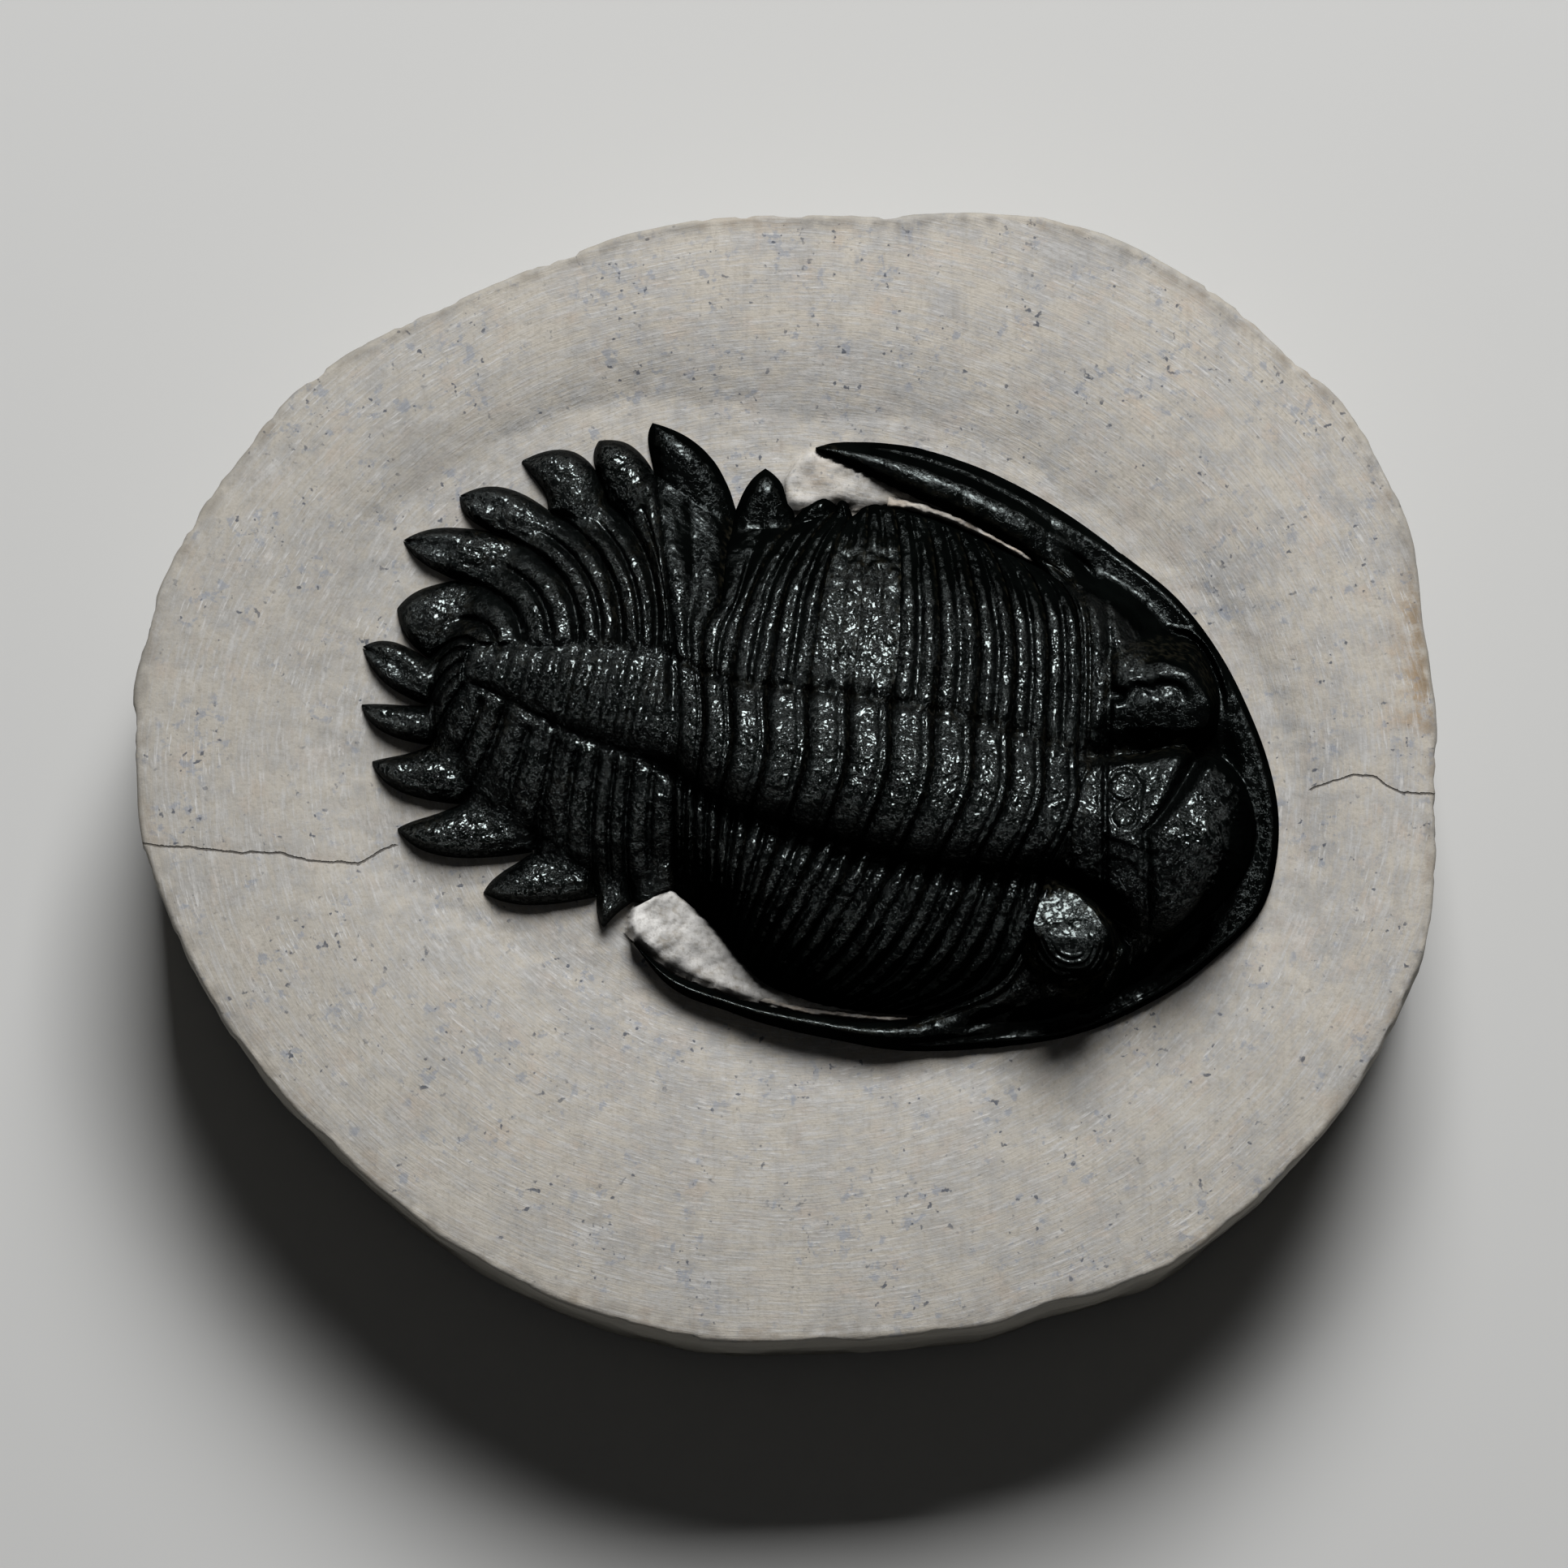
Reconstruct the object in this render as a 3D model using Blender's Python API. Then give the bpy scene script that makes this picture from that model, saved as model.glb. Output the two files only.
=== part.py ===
"""A spiny trilobite fossil, laid out on its sanded limestone slab.

Lengths are in millimetres until a mesh is made, which is in metres. +X runs from the tail to the head,
+Y to the animal's left side, +Z up. The origin is under the middle of the slab, on its flat base.
"""

import math
from dataclasses import dataclass

import bmesh
import bpy
import numpy as np
from mathutils import Matrix

MM = 0.001
GAP = 0.3

# Plan points are as seen by an eye above the slab that leans over its right side, on a plane across its sight
# that meets the slab's middle at this height. Each point is set back along the line of sight to its height.
LEAN_DEGREES = 6.8
EYE_DISTANCE = 500.0
SEEN_PLANE = 16.0

# Heights above the slab's base
BED = 15.0
FLOOR = BED + GAP
RIM = 16.6

# The slab
SLAB_COLUMNS = 60
SLAB_EDGE_ROUND = 0.7
SLAB_FOOT_INSET = 0.4
SLAB_OUTLINE = [
    (40.2, 1.0), (40.15, -4.75), (39.1, -11.25), (36.35, -17.0), (31.6, -23.0), (26.6, -27.5),
    (21.6, -30.75), (16.6, -32.25), (9.1, -34.0), (1.0, -34.6), (-8.4, -33.8), (-13.4, -32.25),
    (-18.4, -29.75), (-23.4, -26.5), (-28.4, -21.75), (-33.4, -16.1), (-36.9, -10.4), (-39.3, -4.5),
    (-40.25, 3.0), (-39.7, 9.0), (-37.6, 14.3), (-33.15, 21.0), (-28.4, 25.45), (-23.4, 28.35),
    (-15.9, 31.75), (-10.4, 33.75), (-3.4, 35.05), (4.0, 35.15), (11.6, 35.25), (16.1, 34.95),
    (21.6, 33.15), (26.6, 30.25), (31.6, 25.95), (34.2, 23.6), (37.6, 17.25), (38.95, 12.25), (39.8, 6.75),
]
# The flat bed that the trilobite lies on, a little outside its silhouette
BED_OUTLINE = [
    (31.6, -1.8), (31.1, -6.3), (28.9, -10.0), (24.1, -14.0), (18.1, -16.8), (9.1, -17.9), (-0.9, -16.3),
    (-9.4, -12.9), (-14.0, -10.6), (-19.4, -8.5), (-25.0, -4.8), (-27.2, 0.2), (-27.7, 5.2), (-27.0, 9.8),
    (-24.9, 15.8), (-21.4, 18.8), (-16.4, 21.5), (-9.9, 23.5), (-3.4, 23.2), (1.6, 22.3), (7.6, 22.3),
    (14.1, 19.8), (21.6, 15.0), (27.6, 9.3), (30.6, 3.3),
]
# Share of the way from the slab's top edge to the bed, and height there
SLAB_RINGS = [(0.0, RIM), (0.25, RIM + 0.25), (0.55, RIM + 0.2), (0.85, RIM - 0.3), (1.0, BED)]
# Height of the edge between the foot's bevel and the wall
SLAB_FOOT = 0.5

# The thorax: eleven segments between twelve rib lines, numbered from the head
SEGMENTS = 11
# Stations across the animal, from its left tips at -1 to its right tips at 1. The furrows beside the axis
# are at -0.27 and 0.27. Each has points on chosen rib lines: {rib line: (x, y)}.
STATIONS = {
    -1.0: {0: (15.6, 13.3), 3: (10.5, 15.85), 6: (5.1, 17.1), 7: (3.95, 16.4), 8: (3.0, 16.7),
           9: (0.2, 15.85), 10: (-3.4, 16.0), 11: (-8.2, 19.1)},
    -0.8: {0: (17.2, 12.1), 3: (11.2, 13.75), 6: (5.0, 14.85), 9: (-0.8, 14.45), 10: (-3.7, 13.75),
           11: (-7.75, 16.25)},
    -0.6: {0: (18.1, 10.1), 3: (11.75, 11.0), 6: (4.7, 11.85), 9: (-2.15, 11.5), 10: (-4.0, 11.25),
           11: (-7.4, 13.25)},
    -0.42: {0: (18.25, 6.25), 3: (12.0, 7.75), 6: (4.35, 8.5), 9: (-2.9, 8.75), 11: (-7.0, 10.0)},
    -0.27: {0: (18.1, 2.0), 3: (11.7, 4.0), 6: (4.0, 5.5), 9: (-3.25, 6.35), 11: (-6.75, 7.65)},
    0.0: {0: (18.0, -1.5), 3: (11.45, -0.35), 6: (3.85, 1.15), 9: (-3.2, 2.65), 11: (-6.55, 4.35)},
    0.27: {0: (16.1, -5.65), 3: (9.2, -5.15), 6: (2.2, -3.5), 9: (-4.0, -1.25), 11: (-6.8, 0.75)},
    0.45: {0: (15.4, -8.0), 3: (8.1, -7.65), 6: (0.85, -6.25), 9: (-4.2, -3.5), 11: (-6.9, -1.0)},
    0.65: {0: (14.5, -10.5), 3: (6.35, -10.5), 6: (-0.5, -8.75), 9: (-4.3, -5.75), 11: (-6.95, -3.0)},
    0.85: {0: (12.35, -12.9), 3: (4.0, -12.75), 6: (-1.5, -10.75), 9: (-4.4, -7.65), 11: (-6.95, -5.0)},
    1.0: {0: (8.2, -14.35), 3: (2.0, -13.7), 6: (-2.0, -11.8), 9: (-4.4, -8.85), 11: (-6.9, -6.7)},
}
FURROW = 0.27
# Height of the shell above the bed across the animal, at its highest segment
PROFILE = [(-1.0, 3.0), (-0.8, 5.5), (-0.6, 7.6), (-0.42, 8.6), (-0.27, 8.2), (-0.14, 10.1), (0.0, 10.8),
           (0.14, 10.0), (0.27, 7.7), (0.45, 7.5), (0.65, 6.0), (0.85, 3.9), (1.0, 1.9)]
# That height's share along the thorax, by rib line
ARCH = [(0, 0.9), (3, 0.98), (6, 1.0), (9, 0.9), (11, 0.78)]
# Ridges across one segment, from its front edge to its back edge: (share, on the axis, on the pleura)
SEGMENT_RELIEF = [
    (0.0, -0.35, -0.25), (0.25, 0.2, 0.22), (0.5, 0.4, -0.15), (0.75, 0.35, 0.25), (1.0, -0.3, -0.25),
]
LOBE_STATION = 0.14
SEGMENT_BLADE_STEPS = [0.95, 0.72, 0.48, 0.25]
# Blades at the left ends of the last segments: tip, bend on the front side, bend on the back side
SEGMENT_BLADES = {
    8: ((3.5, 17.5), (3.9, 17.2), (3.1, 17.3)),
    9: ((2.4, 17.65), (3.0, 17.4), (1.1, 17.15)),
    10: ((-1.25, 19.4), (0.15, 18.3), (-2.6, 18.3)),
    11: ((-8.2, 22.2), (-3.7, 20.8), (-8.35, 20.6)),
}

# The pygidium: twelve marginal points from the front left round the tail, with a spine between each pair
NOTCHES = [
    (-8.6, 18.95), (-10.9, 17.25), (-14.65, 16.85), (-18.05, 15.45), (-20.3, 12.5), (-22.05, 7.65),
    (-22.1, 4.8), (-21.9, 2.35), (-20.05, -1.3), (-15.55, -4.25), (-11.65, -7.0), (-9.4, -7.3), (-7.2, -6.7),
]
# Tip, bend on the near side, bend on the far side
SPINES = [
    ((-11.5, 21.1), (-9.25, 21.25), (-12.1, 19.85)),
    ((-16.3, 19.85), (-12.0, 21.75), (-14.6, 18.45)),
    ((-20.1, 17.7), (-17.4, 18.95), (-19.7, 16.15)),
    ((-23.6, 14.95), (-21.15, 16.1), (-22.15, 13.25)),
    ((-23.95, 10.75), (-22.65, 12.1), (-23.5, 8.8)),
    ((-26.1, 8.4), (-24.05, 9.1), (-24.9, 5.7)),
    ((-26.15, 4.85), (-24.15, 4.7), (-25.25, 2.7)),
    ((-25.5, 1.35), (-23.6, 1.45), (-24.55, -0.95)),
    ((-23.95, -2.8), (-22.3, -2.35), (-22.05, -5.35)),
    ((-18.65, -6.75), (-17.5, -5.5), (-16.15, -8.0)),
    ((-11.2, -8.9), (-11.7, -8.15), (-10.8, -8.2)),
    ((-8.3, -7.5), (-8.9, -7.45), (-7.8, -7.4)),
]
SPINE_COLUMNS = 4
SPINE_ROWS = 4
TAIL_AXIS = [(0.0, (-6.85, 4.4)), (0.5, (-13.4, 5.9)), (0.8, (-17.2, 6.9)), (1.0, (-19.65, 7.5))]
TAIL_AXIS_HALF_WIDTH = [(0.0, 3.4), (0.5, 2.6), (0.8, 1.9), (1.0, 1.0)]
# Where along the tail's axis the rib to each marginal point starts
RIB_ROOTS = [0.0, 0.1, 0.19, 0.3, 0.45, 0.72, 1.0]
TAIL_CREST = [(0.0, 8.4), (0.5, 7.2), (0.8, 6.0), (1.0, 4.9)]
TAIL_FURROW_DEPTH = [(0.0, 1.9), (0.5, 1.5), (1.0, 0.7)]
# Stations of the front edge's points, and how far the columns behind follow it
FRONT_STATIONS = [0.0, 0.15, 0.27, 0.45, 0.63, 0.82, 1.0]
FRONT_EASE = [1.0, 0.7, 0.4, 0.15]
TAIL_MARGIN = 2.3
TAIL_BULGE = 1.1
TAIL_PLEURA_ROWS = 5
SPINE_TIP_HEIGHT = 0.9
SPINE_CROWN = 0.6
RIB_RELIEF = [-0.2, 0.22, -0.02, 0.22]
RING_RELIEF = 0.2

# The cephalon: its outer edge, at stations that go on past the thorax's into both genal spines
OUTER_EDGE = [
    (-1.6, (1.85, 20.7)), (-1.52, (3.1, 21.05)), (-1.4, (6.6, 21.0)), (-1.2, (11.6, 19.65)),
    (-1.0, (16.6, 17.05)), (-0.8, (20.85, 14.05)), (-0.6, (24.35, 11.15)), (-0.42, (26.95, 7.65)),
    (-0.27, (28.6, 4.35)), (-0.13, (29.75, 1.25)), (0.0, (30.35, -1.75)), (0.13, (30.25, -4.75)),
    (0.27, (29.4, -7.65)), (0.45, (26.6, -10.65)), (0.65, (22.6, -13.45)), (0.85, (16.6, -15.85)),
    (1.0, (9.1, -16.55)), (1.2, (2.6, -15.75)), (1.4, (-3.4, -14.15)), (1.52, (-7.4, -12.35)),
    (1.6, (-9.6, -9.6)),
]
# The inner edge of each genal spine
LEFT_BLADE_EDGE = [(-1.6, (1.9, 20.55)), (-1.52, (3.1, 20.0)), (-1.4, (5.85, 18.7)), (-1.2, (10.6, 16.6)),
                   (-1.0, (15.6, 13.85))]
RIGHT_BLADE_EDGE = [(1.0, (8.2, -14.8)), (1.2, (2.1, -14.35)), (1.4, (-3.65, -13.05)), (1.52, (-7.3, -11.55)),
                    (1.6, (-9.5, -9.75))]
HEAD_ROWS = 20
HEAD_COLUMNS = 66
# Height of the outer edge and of the inner edge, by station
OUTER_HEIGHT = [(-1.6, 0.9), (-1.2, 1.5), (-0.6, 2.2), (0.0, 2.4), (0.6, 1.8), (1.2, 1.0), (1.6, 0.8)]
BLADE_INNER_HEIGHT = [(-1.6, 1.0), (-1.2, 2.6), (-1.0, 3.0), (1.0, 2.8), (1.2, 2.7), (1.6, 1.0)]
BRIM_WIDTH = 2.0
# The glabella's own axis, turned from +X about its back end
GLABELLA_TURN = math.radians(-9)
NAPE = (17.3, -2.1)
# Along that axis: distance forward, half width on the left and on the right, height of the crest
GLABELLA = [
    (-1.0, 3.6, 3.7, 9.7), (0.8, 3.65, 4.3, 9.8), (2.4, 4.0, 5.0, 9.8), (3.7, 4.3, 5.4, 9.8),
    (6.3, 5.2, 6.1, 9.8), (7.6, 5.15, 5.9, 9.4), (8.8, 4.8, 5.0, 8.4), (9.8, 4.1, 3.9, 7.2),
    (10.8, 2.8, 2.1, 5.2), (11.5, 0.8, 0.6, 3.4),
]
FURROW_DEPTH = 2.0
FURROW_WIDTH = 2.5
OCCIPITAL_FURROW = 2.2


@dataclass(frozen=True)
class Eye:
    """An eye's tower: middle, way it faces from +X, reach sideways, outwards and inwards, rim, dome, face."""

    middle: tuple
    facing: float
    length: float
    outward: float
    inward: float
    rim: float
    dome: float
    face: float


LEFT_EYE = Eye((23.0, 4.6), math.radians(90), 3.05, 2.75, 2.6, 9.2, -0.3, 0.5)
RIGHT_EYE = Eye((17.6, -8.9), math.radians(-95), 2.4, 2.6, 3.0, 8.5, 0.7, 1.9)

# Rock left standing between the genal spines and the thorax: outlines and top heights above the bed
LEFT_BANK = [
    (5.85, 18.15), (4.0, 19.0), (2.35, 19.75), (1.6, 20.15), (0.85, 19.65), (0.2, 18.5), (0.35, 17.4),
    (1.1, 17.8), (1.85, 18.2), (3.1, 18.2), (4.35, 17.95), (5.35, 17.75),
]
LEFT_BANK_HEIGHT = 1.6
RIGHT_BANK = [
    (-1.4, -13.0), (-2.4, -12.15), (-3.2, -11.2), (-3.9, -10.3), (-4.85, -9.2), (-5.9, -8.2), (-7.0, -7.3),
    (-8.15, -7.4), (-9.4, -8.0), (-9.5, -9.0), (-9.05, -9.5), (-8.65, -9.75), (-7.65, -10.7), (-5.65, -11.65),
    (-3.25, -12.5),
]
RIGHT_BANK_HEIGHT = 2.2
BANK_EDGE = 0.4
BANK_ROOT = 1.0

SHELL_COLOUR = (0.018, 0.02, 0.019)
SHELL_ROUGHNESS = 0.42
STONE_COLOUR = (0.46, 0.43, 0.38)
STONE_ROUGHNESS = 0.85
CREASE = math.radians(35)


def through(knots, values, at):
    """Values at the parameters wanted, on a smooth curve through every knot."""
    knots, values, at = np.asarray(knots, float), np.asarray(values, float), np.asarray(at, float)
    slopes = np.gradient(values, knots, axis=0)
    left = np.clip(np.searchsorted(knots, at, side="right") - 1, 0, len(knots) - 2)
    span = knots[left + 1] - knots[left]
    f = np.clip((at - knots[left]) / span, 0.0, 1.0)
    extra = (1,) * (values.ndim - 1)
    f, span = f.reshape(f.shape + extra), span.reshape(span.shape + extra)
    rise = f * f * (3 - 2 * f)
    return (
        values[left] * (1 - rise)
        + values[left + 1] * rise
        + span * f * (1 - f) * (slopes[left] * (1 - f) - slopes[left + 1] * f)
    )


def along(pairs, at):
    """Values on the smooth curve through (parameter, value) pairs."""
    return through([p[0] for p in pairs], [p[1] for p in pairs], at)


def closed_radius(outline, height, angles):
    """Distance from the origin to a closed smooth outline that is seen at a height, at each angle."""
    points = set_back([(x, y, height) for x, y in outline + outline[:3]])[:, :2]
    dense = through(range(len(points)), points, np.linspace(1, len(outline) + 1, 721)[:-1])
    turn = np.arctan2(dense[:, 1], dense[:, 0])
    order = np.argsort(turn)
    return np.interp(angles, turn[order], np.hypot(*dense[order].T), period=2 * math.pi)


def bend(start, control, end, t):
    """Points of a quadratic curve."""
    start, control, end = (np.asarray(p, float) for p in (start, control, end))
    t = np.asarray(t, float)[..., None]
    return start * (1 - t) ** 2 + 2 * control * t * (1 - t) + end * t**2


def rib_points(ribs, stations):
    """Places on the thorax, as rows by station and columns by rib line."""
    keys = sorted(STATIONS)
    net = np.array([through(list(STATIONS[k]), list(STATIONS[k].values()), ribs) for k in keys])
    return through(keys, net, stations)


def rib_edge(rib, stations, offset):
    """A rib line moved by an offset towards the tail, to leave a gap beside it."""
    step = 0.02
    near, far = (rib - step, rib) if rib >= SEGMENTS else (rib, rib + step)
    pair = rib_points(np.array([near, far]), stations)
    way = pair[:, 1] - pair[:, 0]
    way /= np.linalg.norm(way, axis=1, keepdims=True)
    return rib_points(np.array([rib]), stations)[:, 0] + way * offset


def arch_height(ribs, stations):
    """Height of the thorax above the bed, as rows by station and columns by rib line."""
    return along(PROFILE, stations)[:, None] * along(ARCH, ribs)[None, :]


def on_axis(stations):
    """1 on the axial lobe and 0 on the pleurae."""
    return np.clip((FURROW - np.abs(stations)) / 0.05, 0, 1)


def top_faces(rows, columns):
    """Quads of a grid of points, by row and column."""
    corners = np.arange(rows * columns).reshape(rows, columns)
    quads = np.stack([corners[:-1, :-1], corners[:-1, 1:], corners[1:, 1:], corners[1:, :-1]], axis=-1)
    return quads.reshape(-1, 4).tolist()


def set_back(points):
    """True places of points that are given as seen, with their heights."""
    points = np.asarray(points, float)
    lean = math.radians(LEAN_DEGREES)
    eye = np.array([0.0, -math.sin(lean), math.cos(lean)]) * EYE_DISTANCE
    seen = np.stack(
        [points[..., 0], points[..., 1] * math.cos(lean), points[..., 1] * math.sin(lean)], axis=-1
    )
    share = (points[..., 2] - SEEN_PLANE - eye[2]) / (seen[..., 2] - eye[2])
    flat = eye[:2] + (seen[..., :2] - eye[:2]) * share[..., None]
    return np.concatenate([flat, points[..., 2:]], axis=-1)


def add_object(name, mesh, colour, roughness):
    """An object for a finished mesh, with its own plain material."""
    material = bpy.data.materials.new(name)
    material.use_nodes = True
    shader = material.node_tree.nodes["Principled BSDF"]
    shader.inputs["Base Color"].default_value = (*colour, 1)
    shader.inputs["Roughness"].default_value = roughness
    shader.inputs["Metallic"].default_value = 0.0
    mesh.materials.append(material)
    made = bpy.data.objects.new(name, mesh)
    bpy.context.scene.collection.objects.link(made)
    return made


def plate(name, points, faces):
    """A shell plate: its top surface, closed by walls and a flat underside just above the bed."""
    bm = bmesh.new()
    corners = [bm.verts.new(p * MM) for p in set_back(points)]
    for face in faces:
        bm.faces.new([corners[i] for i in face])
    bm.normal_update()
    if sum(f.normal.z * f.calc_area() for f in bm.faces) < 0:
        bmesh.ops.reverse_faces(bm, faces=bm.faces)
    rim = [e for e in bm.edges if e.is_boundary]
    walls = bmesh.ops.extrude_edge_only(bm, edges=rim)["geom"]
    for v in walls:
        if isinstance(v, bmesh.types.BMVert):
            v.co.z = FLOOR * MM
    foot = [e for e in walls if isinstance(e, bmesh.types.BMEdge) and e.is_boundary]
    bmesh.ops.contextual_create(bm, geom=foot)
    bmesh.ops.recalc_face_normals(bm, faces=bm.faces)
    mesh = bpy.data.meshes.new(name)
    bm.to_mesh(mesh)
    bm.free()
    mesh.shade_smooth()
    mesh.set_sharp_from_angle(angle=CREASE)
    return add_object(name, mesh, SHELL_COLOUR, SHELL_ROUGHNESS)


def make_segment(number):
    """One thoracic segment: a band from rib line to rib line, arched from tip to tip."""
    lobe = [-LOBE_STATION, 0.0, LOBE_STATION]
    stations = np.concatenate([np.linspace(-1, -FURROW, 9), lobe, np.linspace(FURROW, 1, 11)])
    share = np.array([s[0] for s in SEGMENT_RELIEF])
    ribs = number - 1 + share
    flat = rib_points(ribs, stations)
    flat[:, 0] = rib_edge(number - 1, stations, GAP / 2)
    flat[:, -1] = rib_edge(number, stations, -GAP / 2)
    axis = on_axis(stations)[:, None]
    relief = axis * [s[1] for s in SEGMENT_RELIEF] + (1 - axis) * [s[2] for s in SEGMENT_RELIEF]
    height = BED + arch_height(ribs, stations) + relief
    grid = np.dstack([flat, height])
    if number in SEGMENT_BLADES:
        tip, front_bend, back_bend = SEGMENT_BLADES[number]
        steps = np.array(SEGMENT_BLADE_STEPS)
        front = bend(grid[0, 0, :2], front_bend, tip, steps)
        back = bend(grid[0, -1, :2], back_bend, tip, steps)
        blade = front[:, None] * (1 - share[None, :, None]) + back[:, None] * share[None, :, None]
        crown = BED + SPINE_TIP_HEIGHT + (grid[0, :, 2].mean() - BED - SPINE_TIP_HEIGHT) * (1 - steps)
        crown = crown[:, None] + SPINE_CROWN * (1 - (2 * share - 1) ** 2)[None, :] - SPINE_CROWN / 2
        grid = np.concatenate([np.dstack([blade, crown]), grid])
    rows, columns = grid.shape[:2]
    plate(f"thoracic_segment_{number:02d}", grid.reshape(-1, 3), top_faces(rows, columns))


def tail_column(column):
    """Points of one column of the pygidium, from its crest to its margin, without the crest itself."""
    half = SPINE_COLUMNS * (len(RIB_ROOTS) - 1)
    from_front = min(column, 2 * half - column)
    side = 1 if column <= half else -1
    root = through(range(len(RIB_ROOTS)), RIB_ROOTS, from_front / SPINE_COLUMNS)
    axis = along(TAIL_AXIS, root)
    way = along(TAIL_AXIS, max(root - 0.02, 0)) - along(TAIL_AXIS, min(root + 0.02, 1))
    way /= np.linalg.norm(way)
    out = side * np.array([-way[1], way[0]])
    turned = np.clip((from_front - half + 6) / 6, 0, 1)
    spine = min(column // SPINE_COLUMNS, len(SPINES) - 1)
    part = column / SPINE_COLUMNS - spine
    margin = np.array(NOTCHES[spine]) * (1 - part) + np.array(NOTCHES[spine + 1]) * part
    outward = (margin - axis) / np.linalg.norm(margin - axis)
    out = out * (1 - turned) + outward * turned
    out /= np.linalg.norm(out)
    width = along(TAIL_AXIS_HALF_WIDTH, root)
    furrow = axis + out * width
    reach = np.linalg.norm(margin - furrow)
    t = np.linspace(0, 1, TAIL_PLEURA_ROWS)
    pleura = bend(furrow, furrow + out * reach * 0.3 + (margin - furrow) * 0.2, margin, t)
    crest, depth = along(TAIL_CREST, root), along(TAIL_FURROW_DEPTH, root)
    rib = RIB_RELIEF[column % SPINE_COLUMNS]
    slope = (crest - depth) * (1 - t) + TAIL_MARGIN * t + TAIL_BULGE * np.sin(math.pi * t)
    height = BED + slope + rib * np.sin(math.pi * np.clip(t, 0.1, 0.75))
    ring = RING_RELIEF * (1 if column % 2 else -1)
    flank = (*(axis + out * width * 0.55), BED + crest - depth * 0.25 + ring)
    return [flank, *[(*p, z) for p, z in zip(pleura, height)]]


def meet_last_segment(points, body, columns):
    """Moves the tail's front edge to the last rib line, and eases the columns behind it after it."""
    rows = len(body[0])
    stations = FRONT_STATIONS[:rows]
    for side, first, onward in ((-1, 0, 1), (1, columns, -1)):
        wanted = rib_edge(SEGMENTS, side * np.array(stations), GAP / 2)
        shift = wanted - np.array([points[i][:2] for i in body[first]])
        for step, share in enumerate(FRONT_EASE):
            for row, index in enumerate(body[first + onward * step]):
                if row or side < 0:
                    x, y, z = points[index]
                    points[index] = (x + shift[row][0] * share, y + shift[row][1] * share, z)


def make_pygidium():
    """The tail shield: an axis, ribs that fan from it, and a blade for each stretch of its margin."""
    columns = SPINE_COLUMNS * len(SPINES)
    half = columns // 2
    points, body = [], []
    for c in range(half + 1):
        root = through(range(len(RIB_ROOTS)), RIB_ROOTS, c / SPINE_COLUMNS)
        height = BED + along(TAIL_CREST, root) + RING_RELIEF * (1 if c % 2 else -1)
        points.append((*along(TAIL_AXIS, root), height))
    for c in range(columns + 1):
        column = tail_column(c)
        body.append([min(c, columns - c), *range(len(points), len(points) + len(column))])
        points.extend(column)
    meet_last_segment(points, body, columns)
    faces = []
    for c in range(columns):
        for r in range(len(body[0]) - 1):
            face = [body[c][r], body[c][r + 1], body[c + 1][r + 1], body[c + 1][r]]
            faces.append(tuple(dict.fromkeys(face)))
    steps = np.linspace(0.25, 0.95, SPINE_ROWS)
    for number, (tip, near_bend, far_bend) in enumerate(SPINES):
        base = [body[number * SPINE_COLUMNS + c][-1] for c in range(SPINE_COLUMNS + 1)]
        near = bend(points[base[0]][:2], near_bend, tip, steps)
        far = bend(points[base[-1]][:2], far_bend, tip, steps)
        previous = base
        for row, t in enumerate(steps):
            ring = list(range(len(points), len(points) + SPINE_COLUMNS + 1))
            for c in range(SPINE_COLUMNS + 1):
                q = c / SPINE_COLUMNS
                place = near[row] * (1 - q) + far[row] * q
                crown = SPINE_CROWN * (1 - (2 * q - 1) ** 2) - SPINE_CROWN / 2
                height = BED + TAIL_MARGIN * (1 - t) + SPINE_TIP_HEIGHT * t + crown
                points.append((*place, height))
            faces.extend((previous[c], ring[c], ring[c + 1], previous[c + 1]) for c in range(SPINE_COLUMNS))
            previous = ring
    plate("pygidium", np.array(points), faces)


def turned_axes(x, y, middle, turn):
    """Places along an axis that starts at a middle and is turned from +X, and to the left of it."""
    dx, dy = x - middle[0], y - middle[1]
    return dx * math.cos(turn) + dy * math.sin(turn), dy * math.cos(turn) - dx * math.sin(turn)


def smooth_step(value, low, high):
    """0 below low, 1 above high, and smooth between."""
    f = np.clip((value - low) / (high - low), 0, 1)
    return f * f * (3 - 2 * f)


def with_eye(eye, x, y, ground):
    """Height with an eye on the cheek: a tower with a steep outer face, and a gentle slope inwards."""
    out, aside = turned_axes(x, y, eye.middle, eye.facing)
    reach = np.hypot(aside / eye.length, np.where(out > 0, out / eye.outward, out / eye.inward))
    top = eye.rim + eye.dome * (1 - np.clip(reach, 0, 1) ** 2)
    beyond = (reach - 1) * eye.outward
    tower = 1 - smooth_step(beyond, -0.2 - 0.6 * (out < 0), eye.face)
    return ground + (np.maximum(top, ground) - ground) * tower


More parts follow.
